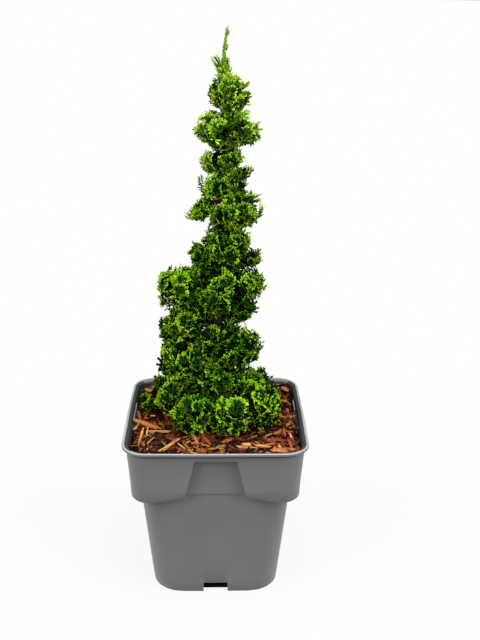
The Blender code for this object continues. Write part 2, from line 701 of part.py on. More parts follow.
def spray(root, direction, normal, length, width, lobes=4):
    """A flat spray as one toothed blade: lobes round its end, cupped, thickest in the middle."""
    side = direction.cross(normal).normalized()
    up = side.cross(direction).normalized()
    outline = [(0.0, 0.0)]
    for i in range(2 * lobes - 1):
        share = i / (2 * lobes - 2)
        angle = math.radians(FAN_SPREAD) * (share - 0.5)
        reach = LOBE if i % 2 == 0 else HOLLOW
        outline.append((FAN_CENTRE + reach * math.cos(angle), reach * math.sin(angle)))
    bm = bmesh.new()
    rim = []
    for along, across in outline:
        bend = FAN_CUP * length * (4 * along * (1 - along) - 3 * across * across)
        rim.append(bm.verts.new(root + direction * along * length + side * across * width + up * bend))
    middle = root + direction * 0.45 * length + up * FAN_CUP * length
    for lift in (1, -1):
        apex = bm.verts.new(middle + up * lift * BLADE_THICKNESS * length / 2)
        for i, v in enumerate(rim):
            bm.faces.new((rim[i - 1], v, apex))
    return bm, [v.co.copy() for v in bm.verts]


def twig_rule(plume, start, rng):
    """The rule of growth: (root on the stem, direction) of each twig.

    The twigs leave the stem one after another, turning by the golden angle, the first near the
    trunk and spread wide, the last at the stem's end and straight on.
    """
    stem = (plume.centre - start).normalized()
    side = stem.orthogonal().normalized()
    first = rng.uniform(0, math.tau)
    for i in range(plume.twigs):
        share = (i + 0.5) / plume.twigs
        lean = 1 - BACKWARD * (1 - share)
        around = Matrix.Rotation(first + i * GOLDEN_ANGLE, 3, stem) @ side
        direction = around * math.sqrt(max(0.0, 1 - lean * lean)) + stem * lean
        yield start.lerp(plume.centre, BARE_STEM + (1 - BARE_STEM) * share), direction


def spray_on(plume, limbs, direction, rng):
    """The largest spray that fits in a direction: (its root, bmesh), or None.

    It is rooted in the core, or near the stem where there is none, and bends upwards from it.
    """
    sunk = core_reach(plume, direction, limbs) * (ROOT_SHARE if plume.dense else LOOSE_ROOT_SHARE)
    base = plume.centre + direction * sunk
    aim = (direction + Vector((0, 0, UPWARD))).normalized()
    across = Vector((0, 0, 1)).cross(direction)
    if across.length < 0.3:
        across = plume.outward.cross(direction)
    twist = Matrix.Rotation(rng.uniform(-SPRAY_TWIST, SPRAY_TWIST), 3, aim)
    normal = twist @ across.cross(aim).normalized()
    length = min(LONGEST_SPRAY, reach_of(plume, base, aim))
    while length >= SHORTEST_SPRAY:
        lobes = 3 if length < NARROW_SPRAY else 4
        bm, corners = spray(base, aim, normal, length, length * FAN_WIDTH, lobes)
        inside = all(plume.holds(p, TIP_SLACK) for p in corners[1:])
        if inside and clear_of(corners[1:], limbs, LIMB_GAP, plume.name):
            return base, bm
        bm.free()
        length -= SHORTENING
    return None


def foliage(plume, limbs, start, finish, rng):
    """One plume: its stem, its core, and the twigs with their sprays, joined."""
    wood = tube([start, plume.centre], [STEM_RADIUS, STEM_RADIUS * STEM_TAPER], 4)
    stem = object_of(wood, plume.name)
    pieces = [core(plume, limbs)] if plume.dense else []
    for root, direction in twig_rule(plume, start, rng):
        fitted = spray_on(plume, limbs, direction, rng)
        if fitted is None:
            continue
        base, blade = fitted
        pieces.append(object_of(blade, "spray"))
        twig_end = base + (base - root).normalized() * TWIG_SUNK
        twig = tube([root, twig_end], [TWIG_RADIUS, TWIG_RADIUS * TWIG_TAPER], 3)
        pieces.append(object_of(twig, "twig"))
    boolean(stem, pieces, "UNION", "MANIFOLD")
    keep_main_body(stem)
    stem.data.materials.clear()
    stem.data.materials.append(finish)


def leader(finish):
    """The growing tip: it carries on from the trunk's top with a few short sprays."""
    foot = TRUNK_PATH[-1] + Vector((0, 0, CLEAR))
    bend = foot.lerp(LEADER_TOP, 0.5) - Vector((LEADER_BOW, 0, 0))
    shoot = tube([foot, bend, LEADER_TOP], LEADER_RADII, 5)
    body = object_of(shoot, "leader")
    pieces = []
    for share, bearing, length in LEADER_SPRAYS:
        root = foot.lerp(LEADER_TOP, share)
        root.x -= LEADER_BOW * (1 - abs(2 * share - 1))
        turn = math.radians(bearing)
        outward = Vector((math.cos(turn), math.sin(turn), 0))
        aim = (outward * LEADER_SPRAY_LEAN + Vector((0, 0, 1))).normalized()
        face = outward.cross(Vector((0, 0, 1)))
        blade, _ = spray(root, aim, face, length, length * LEADER_SPRAY_WIDTH, lobes=3)
        pieces.append(object_of(blade, "spray"))
    boolean(body, pieces, "UNION", "MANIFOLD")
    keep_main_body(body)
    body.data.materials.append(finish)


def main():
    clear_scene()
    plastic = material("grey_polypropylene", (0.15, 0.15, 0.155), 0.45)
    earth = material("potting_soil", (0.03, 0.02, 0.013), 0.95)
    bark_chips = material("bark_mulch", (0.16, 0.06, 0.025), 0.85)
    bark = material("trunk_bark", (0.13, 0.065, 0.04), 0.85)
    leaf = material("cypress_foliage", (0.06, 0.16, 0.015), 0.55)
    young = material("young_foliage", (0.16, 0.3, 0.03), 0.5)

    pot(plastic)
    soil(earth)
    mulch(bark_chips)
    trunk(bark)

    rng = random.Random(SEED)
    crown = plumes()
    part_spaces(crown)
    limbs = trunk_limbs()
    starts = {}
    for plume in crown:
        starts[plume.name] = grow_bough(plume, limbs, bark)
        stem = Limb(starts[plume.name], plume.centre, STEM_RADIUS, STEM_RADIUS, plume.name, stem=True)
        limbs.append(stem)
    for plume in crown:
        keep_off(plume, limbs)
        foliage(plume, limbs, starts[plume.name], leaf, rng)
    leader(young)


main()
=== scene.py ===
"""Looks of a potted spiral topiary: a young hinoki cypress in a square nursery pot.

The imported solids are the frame. The foliage grows again from the trunk by the solids' own rule,
carried on to finer twigs and sprays. The mulch, the trunk's bark and the pot get their surfaces.
"""

import math
import random

import bmesh
import bpy
import numpy as np
from mathutils import Matrix, Vector, noise


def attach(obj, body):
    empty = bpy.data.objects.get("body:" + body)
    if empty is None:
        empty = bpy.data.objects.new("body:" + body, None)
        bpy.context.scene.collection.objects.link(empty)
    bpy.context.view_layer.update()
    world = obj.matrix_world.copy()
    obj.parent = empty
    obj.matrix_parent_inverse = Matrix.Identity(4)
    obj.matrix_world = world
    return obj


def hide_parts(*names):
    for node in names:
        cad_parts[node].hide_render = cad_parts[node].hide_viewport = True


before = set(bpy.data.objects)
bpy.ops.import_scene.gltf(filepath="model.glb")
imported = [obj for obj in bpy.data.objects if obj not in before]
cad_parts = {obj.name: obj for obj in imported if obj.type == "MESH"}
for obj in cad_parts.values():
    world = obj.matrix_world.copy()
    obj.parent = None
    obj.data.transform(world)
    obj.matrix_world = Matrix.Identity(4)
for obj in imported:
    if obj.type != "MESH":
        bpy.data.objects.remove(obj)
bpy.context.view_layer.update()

MM = 0.001
SEED = 11
UP = Vector((0, 0, 1))
CLEAR = 0.3 * MM
GOLDEN_ANGLE = math.radians(137.5)

# Pot, as in the solids: heights above the ground, and half widths from the axis.
POT_HEIGHT = 106.6 * MM
WALL = 1.3 * MM
SIDE_BOW = 0.4 * MM
FOOT_HALF, FOOT_CORNER = 39.6 * MM, 18.5 * MM
BODY_TOP_HALF, BODY_TOP_CORNER = 46.5 * MM, 16.0 * MM
COLLAR_LOW_HALF, COLLAR_LOW_CORNER = 51.2 * MM, 12.5 * MM
COLLAR_TOP_HALF, COLLAR_TOP_CORNER = 53.4 * MM, 12.8 * MM
LIP_HALF, LIP_CORNER = 55.7 * MM, 14.4 * MM
LIP_WIDTH = 1.6 * MM
COLLAR_TOP = 104.4 * MM
COLLAR_LOW_MIDDLE, COLLAR_LOW_AT_CORNER = 75.0 * MM, 71.0 * MM
SKIRT = 2.2 * MM  # thickness of the foot's wall
FLOOR_UNDERSIDE = 7.0 * MM
NOTCH_WIDTH, NOTCH_HEIGHT = 15.0 * MM, 6.6 * MM
DRAIN_RADIUS, DRAIN_OUT = 4.5 * MM, 21.0 * MM
PANEL_TOP, PANEL_TOP_HALF_WIDTH = 100.0 * MM, 12.4 * MM
PANEL_LOW, PANEL_LOW_HALF_WIDTH = 75.0 * MM, 18.1 * MM
PANEL_TOP_FACE, PANEL_LOW_FACE = 48.6 * MM, 47.6 * MM
PANEL_ARCH = 0.7 * MM  # rise of the panel's lower edge in its middle
UNDERCUT = 0.8 * MM  # depth of the groove under the lip
UNSHADED_ABOVE = 103.5 * MM  # over this the front and back walls inside carry no painted shade
CLIP_THICKNESS = 0.5 * MM
CLIPS = [(-51.9 * MM, -6 * MM, 20 * MM), (51.4 * MM, 9 * MM, 24 * MM)]  # x, and y from and to
INSIDE_LOW = 94.0 * MM  # where the inner wall ends, under the mulch
INNER_HALF = 51.6 * MM  # from the axis to the inner wall at the mulch
LEDGE_HALF_WIDTH = 14.5 * MM  # of the panels' backs, which stand in as ledges
LEDGE_FACE = PANEL_TOP_FACE - WALL
MULCH_TOP = 100.0 * MM
FOOT_HOLLOW = 36.2 * MM  # half width of what stays dark under the pot

# Trunk and boughs, as in the solids.
TRUNK_BENDS = [
    (MULCH_TOP + CLEAR, 2.5 * MM, 1.0 * MM),
    (137 * MM, 3.5 * MM, 0.5 * MM),
    (175 * MM, 0.5 * MM, 0.0 * MM),
    (212 * MM, 5.5 * MM, 0.5 * MM),
    (250 * MM, 8.5 * MM, 0.0 * MM),
    (290 * MM, 6.8 * MM, -0.3 * MM),
    (314 * MM, 4.6 * MM, 0.0 * MM),
]
TRUNK_FOOT_RADIUS, TRUNK_TIP_RADIUS = 4.2 * MM, 1.0 * MM
TRUNK_TAPER = 0.8  # under 1 the trunk slims sooner than a cone
ROOT_FLARE, ROOT_FLARE_HEIGHT = 1.9 * MM, 9.0 * MM
LEADER_TOP = Vector((6.3 * MM, 0.0, 340.0 * MM))
LEADER_BOW = 1.0 * MM
BOUGH_FOOT_RADIUS, BOUGH_TIP_RADIUS = 1.9 * MM, 1.1 * MM
SHORTEST_BOUGH = 5.0 * MM
STEM_RADIUS, TWIG_RADIUS = 1.3 * MM, 0.5 * MM
STEP = 0.5 * MM  # by which a bough grows until it meets its plume
LIMB_GAP, TRUNK_GAP = 0.7 * MM, 0.5 * MM
NEAR_LIMB = 2.0  # Plume.depth of a limb that a plume has to keep off
LOWEST_FOLIAGE = 102.0 * MM


def clamp(share):
    return min(1.0, max(0.0, share))


def mix(start, end, share):
    return start + (end - start) * share


def heading(angle):
    """A level direction, turned this far from +X."""
    return Vector((math.cos(angle), math.sin(angle), 0))


def linked(name, data):
    """A new object in the scene's own collection."""
    obj = bpy.data.objects.new(name, data)
    bpy.context.scene.collection.objects.link(obj)
    return obj


def extruded(bm, edges):
    """The new vertices of a wall drawn out of these edges."""
    made = bmesh.ops.extrude_edge_only(bm, edges=edges)
    return [v for v in made["geom"] if isinstance(v, bmesh.types.BMVert)]


# ---------------------------------------------------------------- materials


def srgb(code):
    """A hex colour as linear RGBA."""
    channels = [int(code[i:i + 2], 16) / 255 for i in (1, 3, 5)]
    return [c / 12.92 if c <= 0.04045 else ((c + 0.055) / 1.055) ** 2.4 for c in channels] + [1.0]


def add(tree, kind, links=(), stops=(), **values):
    """A node with its socket values and its links from other nodes' sockets.

    stops are the (position, hex colour) of a colour ramp, in order.
    """
    node = tree.nodes.new(kind)
    for name, value in values.items():
        node.inputs[name.replace("_", " ")].default_value = value
    for name, source in dict(links).items():
        tree.links.new(source, node.inputs[name])
    for i, (position, code) in enumerate(stops):
        elements = node.color_ramp.elements
        stop = elements[i] if i < len(elements) else elements.new(position)
        stop.position = position
        stop.color = srgb(code)
    return node


def principled(name, **values):
    """A material with a bare Principled shader: (material, its node tree, the shader)."""
    made = bpy.data.materials.new(name)
    made.use_nodes = True
    tree = made.node_tree
    tree.nodes.clear()
    shader = add(tree, "ShaderNodeBsdfPrincipled", **values)
    output = add(tree, "ShaderNodeOutputMaterial")
    tree.links.new(shader.outputs["BSDF"], output.inputs["Surface"])
    return made, tree, shader


def plain(name, code, **values):
    return principled(name, Base_Color=srgb(code), **values)[0]


# Real sizes of the patterns in the finishes.
MELT_CLOUD = 22.2 * MM
MOULD_GRAIN, MOULD_GRAIN_DEPTH = 1.11 * MM, 0.1 * MM
SOIL_CRUMB = 1.67 * MM
BARK_FIBRE, BARK_FIBRE_LENGTH, BARK_FIBRE_DEPTH = 1.11 * MM, 6.94 * MM, 0.4 * MM


def moulded_polypropylene():
    """Injection-moulded polypropylene: even grey and satin, with a fine spark-eroded grain.

    The real grain is about a tenth of MOULD_GRAIN, so it is drawn coarse enough to show.
    """
    made, tree, shader = principled("moulded_polypropylene", Roughness=0.42, IOR=1.49)
    place = add(tree, "ShaderNodeTexCoord").outputs["Object"]
    cloud = add(tree, "ShaderNodeTexNoise", {"Vector": place}, Scale=1 / MELT_CLOUD, Detail=2.0)
    colour = add(tree, "ShaderNodeValToRGB", {"Fac": cloud.outputs["Fac"]},
                 [(0.3, "#69696b"), (0.7, "#6e6e71")])
    tree.links.new(colour.outputs["Color"], shader.inputs["Base Color"])
    grain = add(tree, "ShaderNodeTexNoise", {"Vector": place}, Scale=1 / MOULD_GRAIN, Detail=2.0)
    bump = add(tree, "ShaderNodeBump", {"Height": grain.outputs["Fac"]}, Strength=0.12,
               Distance=MOULD_GRAIN_DEPTH)
    tree.links.new(bump.outputs["Normal"], shader.inputs["Normal"])
    return made


def painted_shade_polypropylene():
    """The same plastic inside, on the side walls and low on the front and back: darkened as painted shade,
    and duller.
    """
    return plain("inner_wall_painted_shade", "#2c2e2d", Roughness=0.6)


def lip_painted_highlight():
    """The same plastic on top of the lip, made paler as a painted highlight."""
    return plain("lip_painted_highlight", "#97989b", Roughness=0.4)


def clip_painted_highlight():
    """The same plastic on the clips, paler still as a painted highlight."""
    return plain("clip_painted_highlight", "#a3a5a6", Roughness=0.4)


def potting_soil():
    """Peat and fine bark: dark, crumbly and quite matt."""
    made, tree, shader = principled("potting_soil", Roughness=0.95)
    place = add(tree, "ShaderNodeTexCoord").outputs["Object"]
    crumb = add(tree, "ShaderNodeTexNoise", {"Vector": place}, Scale=1 / SOIL_CRUMB, Detail=4.0)
    colour = add(tree, "ShaderNodeValToRGB", {"Fac": crumb.outputs["Fac"]},
                 [(0.35, "#120a05"), (0.65, "#2e1d12")])
    tree.links.new(colour.outputs["Color"], shader.inputs["Base Color"])
    return made


def shredded_bark():
    """Shredded conifer bark and some bare wood: one plain colour a shred."""
    return [plain(f"shredded_bark_{i}", code, Roughness=0.8, Specular_IOR_Level=0.15)
            for i, code in enumerate(BARK_TINTS)]


def thin_bark():
    """Young cypress bark: red-brown, peeling in upright fibres."""
    made, tree, shader = principled("young_bark", Roughness=0.8)
    place = add(tree, "ShaderNodeTexCoord").outputs["Object"]
    along = add(tree, "ShaderNodeMapping", {"Vector": place},
                Scale=(1.0, 1.0, BARK_FIBRE / BARK_FIBRE_LENGTH))
    fibre = add(tree, "ShaderNodeTexNoise", {"Vector": along.outputs["Vector"]},
                Scale=1 / BARK_FIBRE, Detail=4.0)
    colour = add(tree, "ShaderNodeValToRGB", {"Fac": fibre.outputs["Fac"]},
                 [(0.3, "#2a1610"), (0.52, "#5a3423"), (0.72, "#8b5f45")])
    tree.links.new(colour.outputs["Color"], shader.inputs["Base Color"])
    bump = add(tree, "ShaderNodeBump", {"Height": fibre.outputs["Fac"]}, Strength=0.6,
               Distance=BARK_FIBRE_DEPTH)
    tree.links.new(bump.outputs["Normal"], shader.inputs["Normal"])
    return made


def green_stem():
    """The upper trunk, where no bark has formed yet: green, smooth and a little waxy."""
    return plain("green_stem", "#6f7a1e", Roughness=0.6)


def young_twig():
    """Thin twigs that have just turned brown: smooth and matt."""
    return plain("young_twig", "#4a3a1c", Roughness=0.7)


# From the near-black painted shade of the heart and inner sprays to the growing tips.
LEAF_TINTS = ["#010600", "#051b00", "#1c4501", "#487c05", "#82b512", "#b2d62c", "#d2ea5a"]


def leaf_tints():
    """Cypress scale leaves: waxy, close-set and opaque, so one plain colour and little shine each."""
    return [plain(f"scale_leaf_{i}", code, Roughness=0.45, Specular_IOR_Level=0.05)
            for i, code in enumerate(LEAF_TINTS)]


# ---------------------------------------------------------------- meshes


def piece(name, mesh, materials, smooth=True):
    """An object of the plant: it rides on the one body and takes its finish from the slot."""
    for made in materials:
        mesh.materials.append(made)
    mesh.polygons.foreach_set("use_smooth", [smooth] * len(mesh.polygons))
    obj = linked(name, mesh)
    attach(obj, "root")
    return obj


def mesh_of(bm, name):
    bmesh.ops.recalc_face_normals(bm, faces=bm.faces)
    mesh = bpy.data.meshes.new(name)
    bm.to_mesh(mesh)
    bm.free()
    return mesh


class Heap:
    """Many small shapes of triangles on their way into one mesh."""

    def __init__(self):
        self.points, self.triangles, self.slots = [], [], []
        self.count = 0

    def put(self, points, triangles, slots):
        self.points.append(points)
        self.triangles.append(triangles + self.count)
        self.slots.append(np.broadcast_to(slots, len(triangles)))
        self.count += len(points)

    def mesh(self, name):
        points = np.concatenate(self.points).astype(np.float32)
        triangles = np.concatenate(self.triangles).astype(np.int32)
        mesh = bpy.data.meshes.new(name)
        mesh.vertices.add(len(points))
        mesh.vertices.foreach_set("co", points.ravel())
        mesh.loops.add(triangles.size)
        mesh.loops.foreach_set("vertex_index", triangles.ravel())
        mesh.polygons.add(len(triangles))
        mesh.polygons.foreach_set("loop_start", np.arange(0, triangles.size, 3, dtype=np.int32))
        mesh.polygons.foreach_set("material_index", np.concatenate(self.slots).astype(np.int32))
        mesh.update(calc_edges=True)
        mesh.validate()
        return mesh


def template(bm):
    """A small bmesh shape as arrays: its points and its triangles."""
    bmesh.ops.triangulate(bm, faces=bm.faces)
    bmesh.ops.recalc_face_normals(bm, faces=bm.faces)
    bm.verts.index_update()
    points = np.array([v.co for v in bm.verts])
    triangles = np.array([[v.index for v in f.verts] for f in bm.faces])
    bm.free()
    return points, triangles


def ball(around, rings):
    bm = bmesh.new()
    bmesh.ops.create_uvsphere(bm, u_segments=around, v_segments=rings, radius=0.5)
    bmesh.ops.rotate(bm, verts=bm.verts, matrix=Matrix.Rotation(math.radians(90), 3, "Y"))
    return template(bm)


# ---------------------------------------------------------------- growth rule, as in the solids


def smooth_path(points, steps):
    """Points along a smooth curve through the given ones."""
    made = []
    for i in range(len(points) - 1):
        before, start = points[max(i - 1, 0)], points[i]
        end, after = points[i + 1], points[min(i + 2, len(points) - 1)]
        for k in range(steps):
            t = k / steps
            made.append(0.5 * (2 * start + (end - before) * t
                               + (2 * before - 5 * start + 4 * end - after) * t * t
                               + (3 * start - before - 3 * end + after) * t * t * t))
    return made + [points[-1]]


TRUNK_PATH = smooth_path([Vector((x, y, z)) for z, x, y in TRUNK_BENDS], 3)


def trunk_at(height):
    """The trunk's axis at a height, or the leader's above its tip."""
    for low, high in zip(TRUNK_PATH, TRUNK_PATH[1:] + [LEADER_TOP]):
        if height <= high.z:
            return low.lerp(high, max(0.0, (height - low.z) / (high.z - low.z)))
    return LEADER_TOP.copy()


def trunk_radius(height):
    foot, tip = TRUNK_PATH[0].z, TRUNK_PATH[-1].z
    share = clamp((height - foot) / (tip - foot))
    flare = ROOT_FLARE * max(0.0, 1 - (height - foot) / ROOT_FLARE_HEIGHT) ** 2
    return mix(TRUNK_FOOT_RADIUS, TRUNK_TIP_RADIUS, share ** TRUNK_TAPER) + flare


class Plume:
    """One mass of foliage: an ellipsoid of space, given in millimetres.

    at is its centre and half its half sizes along its bearing, across it and up. tilt lifts its
    outer end, in degrees. rise is how far below the centre its stem leaves the trunk, as a share
    of the distance between them. fresh, from 0 to 1, is how much of it is new growth.
    """

    def __init__(self, name, at, half, tilt=0, rise=0.5, fresh=0.35):
        self.name = name
        self.centre = Vector(at) * MM
        self.half = Vector(half) * MM
        self.rise = rise
        self.fresh = fresh
        axis = trunk_at(self.centre.z)
        self.outward = Vector((self.centre.x - axis.x, self.centre.y - axis.y, 0))
        self.out = self.outward.length
        self.outward.normalize()
        lift = Matrix.Rotation(math.radians(-tilt), 3, UP.cross(self.outward))
        along = lift @ self.outward
        across = UP.cross(self.outward)
        self.axes = Matrix((along, across, along.cross(across)))
        self.planes = []

    def depth(self, point):
        """Under 1 inside the ellipsoid."""
        local = self.axes @ (point - self.centre)
        return sum((local[i] / self.half[i]) ** 2 for i in range(3))

    def holds(self, point, slack=1.0, over=0.0):
        if self.depth(point) > slack:
            return False
        return all(normal.dot(point) < distance + over for normal, distance in self.planes)

    def free_reach(self, direction):
        """From the centre to the ellipsoid's skin."""
        local = self.axes @ direction
        return 1 / math.sqrt(sum((local[i] / self.half[i]) ** 2 for i in range(3)))

    def reach(self, direction):
        """From the centre to the end of the plume's space."""
        found = self.free_reach(direction)
        for normal, distance in self.planes:
            towards = normal.dot(direction)
            if towards > 0:
                found = min(found, (distance - normal.dot(self.centre)) / towards)
        return max(0.0, found)


# The crown from its lowest tier up. The sprays of each tier are one piece.
TIERS = {
    "skirt_front": [
        Plume("skirt_right", (23, -7.5, 117.5), (18, 19, 18.5), fresh=0.75),
        Plume("skirt_front", (9.5, -14.5, 114.5), (15.5, 19, 15.5), fresh=0.9),
        Plume("skirt_front_left", (-12.5, -11, 115), (17.5, 17.5, 18), rise=0.3, fresh=0.5),
        Plume("skirt_left", (-23.5, 4.5, 118.5), (16.5, 17.5, 18), rise=0.2, fresh=0.3),
    ],
    "skirt_back": [
        Plume("skirt_back_left", (-10, 18.5, 119), (16.5, 17, 17)),
        Plume("skirt_back", (11.5, 19.5, 118), (16.5, 17, 16)),
        Plume("skirt_right_back", (22.5, 12, 120), (15, 15, 13)),
        Plume("offshoot_left", (-42, 10, 110), (8, 7, 6.5), rise=0.08),
    ],
    "second_front": [
        Plume("inner_front", (-1.5, -8, 137.5), (13.5, 16, 15), fresh=0.2),
        Plume("fan_left", (-19, -7.5, 147.5), (15, 17, 17), rise=0.7, fresh=0.5),
        Plume("second_right", (11, -6, 154.5), (16, 19, 13), fresh=0.15),
        Plume("second_front", (-4, -7.5, 160), (10.5, 12, 14)),
    ],
    "second_back": [
        Plume("second_back", (4, 12.5, 150), (14.5, 16, 15.5)),
        Plume("second_left_back", (-21.5, 7.5, 160.5), (15, 16, 11), fresh=0.15),
    ],
    "third_low": [
        Plume("third_back_low", (-4, 13.5, 174), (14, 15, 13.5)),
        Plume("third_left_low", (-16.5, -4.5, 173), (16, 16, 13)),
        Plume("third_right_low", (11, 0, 180.5), (14.2, 14, 12), fresh=0.1),
    ],
    "third_high": [
        Plume("third_left", (-18, -2, 190.5), (18.5, 19, 15), tilt=-28, fresh=0.5),
        Plume("third_front", (-0.5, -9.5, 193), (12.5, 16, 18)),
        Plume("third_right", (13.5, -1.5, 192.5), (15, 18, 12.5), fresh=0.2),
        Plume("third_back", (1, 13, 194), (14, 17, 17)),
        Plume("lobe_right", (19, -2, 210), (11, 8, 5.5), tilt=8, rise=0.4, fresh=0.4),
    ],
    "fourth": [
        Plume("fourth_front", (6.5, -6, 220), (10.5, 15, 16.5), fresh=0.5),
        Plume("fourth_left", (-4, -1, 212), (11, 14, 12)),
        Plume("fourth_back", (6.5, 9, 219), (10.5, 14, 15.5)),
        Plume("arm_left", (-8.5, -1, 239.5), (16, 8, 5.5), tilt=-28, rise=-0.4, fresh=0.6),
        Plume("lump_right", (15, -1, 239.5), (15.5, 13, 11), tilt=45, fresh=0.35),
    ],
    "fifth": [
        Plume("fifth_front", (5, -5.5, 238), (10, 13, 15), fresh=0.6),
        Plume("fifth_left", (1, -1.5, 253.5), (12.5, 12, 10), fresh=0.6),
        Plume("fifth_back", (7, 7, 248), (9.5, 12, 13.5), fresh=0.4),
        Plume("twig_right", (16, -1, 261), (9, 5, 4), tilt=34, fresh=0.6),
        Plume("sixth_left", (1, -1, 268), (11.5, 12, 9), fresh=0.5),
        Plume("sixth_front", (5.5, -4, 269), (6.5, 11, 13.5), fresh=0.5),
        Plume("sixth_back", (5.5, 6, 270), (7, 10, 12)),
    ],
    "crest": [
        Plume("seventh_left", (1, -1, 286), (13.5, 13, 9.5), tilt=4, fresh=0.4),
        Plume("seventh_right", (13.3, 0, 286), (13.7, 13, 9.5), tilt=5, fresh=0.35),
        Plume("crown_right", (10.2, -0.5, 305.5), (9, 10.5, 11.5), tilt=20, fresh=0.6),
        Plume("crown_left", (2.9, -0.5, 305.5), (6.8, 9.5, 12.5), fresh=0.7),
    ],
}
CROWN = [plume for tier in TIERS.values() for plume in tier]


class Limb:
    """A straight tapering stretch that foliage keeps clear of."""

    def __init__(self, start, end, start_radius, end_radius, owner="", stem=False):
        self.start, self.end = start, end
        self.start_radius, self.end_radius = start_radius, end_radius
        self.owner = owner
        self.stem = stem

    def share_at(self, point):
        """How far along the limb its nearest place to the point lies, as a share."""
        line = self.end - self.start
        return clamp((point - self.start).dot(line) / line.length_squared)

    def nearest(self, point):
        return self.start.lerp(self.end, self.share_at(point))

    def gap(self, point):
        """Distance from the point to the limb's surface."""
        radius = mix(self.start_radius, self.end_radius, self.share_at(point))
        return (point - self.nearest(point)).length - radius


def part_spaces(all_plumes):
    """Parts the plumes from each other by planes, nearer the smaller one, and from the trunk."""
    for first in all_plumes:
        for second in all_plumes:
            if first is second:
                continue
            line = second.centre - first.centre
            distance = line.length
            normal = line / distance
            share = first.half.length / (first.half.length + second.half.length)
            at = first.centre + normal * (distance * share - CLEAR)
            first.planes.append((normal, normal.dot(at)))
        inward = -first.outward
        low, high = first.centre.z - first.half.z, first.centre.z + first.half.z
        skins = [inward.dot(p) - trunk_radius(p.z) for p in TRUNK_PATH if low < p.z < high]
        skins.append(inward.dot(trunk_at(first.centre.z)) - trunk_radius(first.centre.z))
        first.planes.append((inward, min(skins) - TRUNK_GAP))
        first.planes.append((-UP, -LOWEST_FOLIAGE))


def limb_start(plume, radius):
    """Where a limb of this radius that grows towards a plume's centre leaves the trunk."""
    height = plume.centre.z - plume.rise * plume.out
    axis = trunk_at(height)
    towards = (plume.centre - axis).normalized()
    level = math.hypot(towards.x, towards.y)
    skin = trunk_radius(height - radius) + CLEAR + radius * abs(towards.z)
    return axis + towards * (skin / level)


def bough_ends(plume):
    """Where a bough to this plume starts and ends, or None where the stem leaves the trunk."""
    start = limb_start(plume, BOUGH_FOOT_RADIUS)
    line = plume.centre - start
    ahead = line.normalized()
    entry = 0.0
    while entry < line.length and not plume.holds(start + ahead * entry):
        entry += STEP
    return (start, start + ahead * entry) if entry >= SHORTEST_BOUGH else None


def keep_off(plume, limbs):
    """Planes that keep the plume on its own side of each bough and stem that passes it."""
    for limb in limbs:
        if limb.owner in ("", plume.name):
            continue
        nearest = limb.nearest(plume.centre)
        if plume.depth(nearest) < NEAR_LIMB:
            normal = (nearest - plume.centre).normalized()
            plume.planes.append((normal, normal.dot(nearest) - limb.start_radius - LIMB_GAP))


# ---------------------------------------------------------------- pot

EASE = 0.35 * MM  # by which edges are rounded
# Columns across a panel, as shares of its half width. Two close pairs stand at the notch's sides.
PANEL_COLUMNS = (-1, -0.72, -0.422, -0.414, -0.2, 0, 0.2, 0.414, 0.422, 0.72, 1)
BESIDE_PANEL = (0.3 * MM, 1.0 * MM)  # columns that round the panel's outer edges
CORNER_STEPS = 14


def panel_share(height):
    """How far down a panel the height lies."""
    return clamp((PANEL_TOP - height) / (PANEL_TOP - PANEL_LOW))


def body_size(height):
    share = height / COLLAR_LOW_MIDDLE
    return mix(FOOT_HALF, BODY_TOP_HALF, share), mix(FOOT_CORNER, BODY_TOP_CORNER, share)


def collar_size(height):
    share = (height - COLLAR_LOW_MIDDLE) / (COLLAR_TOP - COLLAR_LOW_MIDDLE)
    return (mix(COLLAR_LOW_HALF, COLLAR_TOP_HALF, share),
            mix(COLLAR_LOW_CORNER, COLLAR_TOP_CORNER, share))


def pot_ring(size, height, panel=None, edge=None, notched=False):
    """Points round the pot at a level. panel is (face, height) where a panel departs from the rest.

    edge is the lift above the collar's lower edge, which sets the height instead where it is given.
    """
    half, corner = size
    width = mix(PANEL_TOP_HALF_WIDTH, PANEL_LOW_HALF_WIDTH, panel_share(height))
    side = [(half, u * width, abs(u) <= 1) for u in PANEL_COLUMNS]
    for gap in BESIDE_PANEL:
        side = [(half, -width - gap, False)] + side + [(half, width + gap, False)]
    centre = half - corner
    corner_points = []
    for i in range(CORNER_STEPS + 1):
        angle = math.radians(90) * i / CORNER_STEPS
        corner_points.append((centre + corner * math.cos(angle), centre + corner * math.sin(angle), False))
    points = []
    for quarter in range(4):
        turn = Matrix.Rotation(math.radians(90) * quarter, 2)
        for x, y, on_panel in side + corner_points:
            swell = SIDE_BOW * max(0.0, 1 - (y / half) ** 2) if x > half - 1e-7 else 0.0
            z = height
            if edge is not None:
                along = (min(abs(x), abs(y)) - PANEL_LOW_HALF_WIDTH) / (
                    COLLAR_LOW_HALF - COLLAR_LOW_CORNER - PANEL_LOW_HALF_WIDTH)
                z = edge + mix(COLLAR_LOW_MIDDLE, COLLAR_LOW_AT_CORNER, clamp(along))
            if on_panel and panel:
                x, z = panel
                swell = 0.0
                if edge is not None:
                    z += PANEL_ARCH * (1 - (y / width) ** 2)
            if notched and abs(y) < NOTCH_WIDTH / 2 and on_panel:
                z = NOTCH_HEIGHT
            at = turn @ Vector((x + swell, y))
            points.append(Vector((at.x, at.y, z)))
    return points


def inset(size, by):
    return size[0] - by, size[1] - by


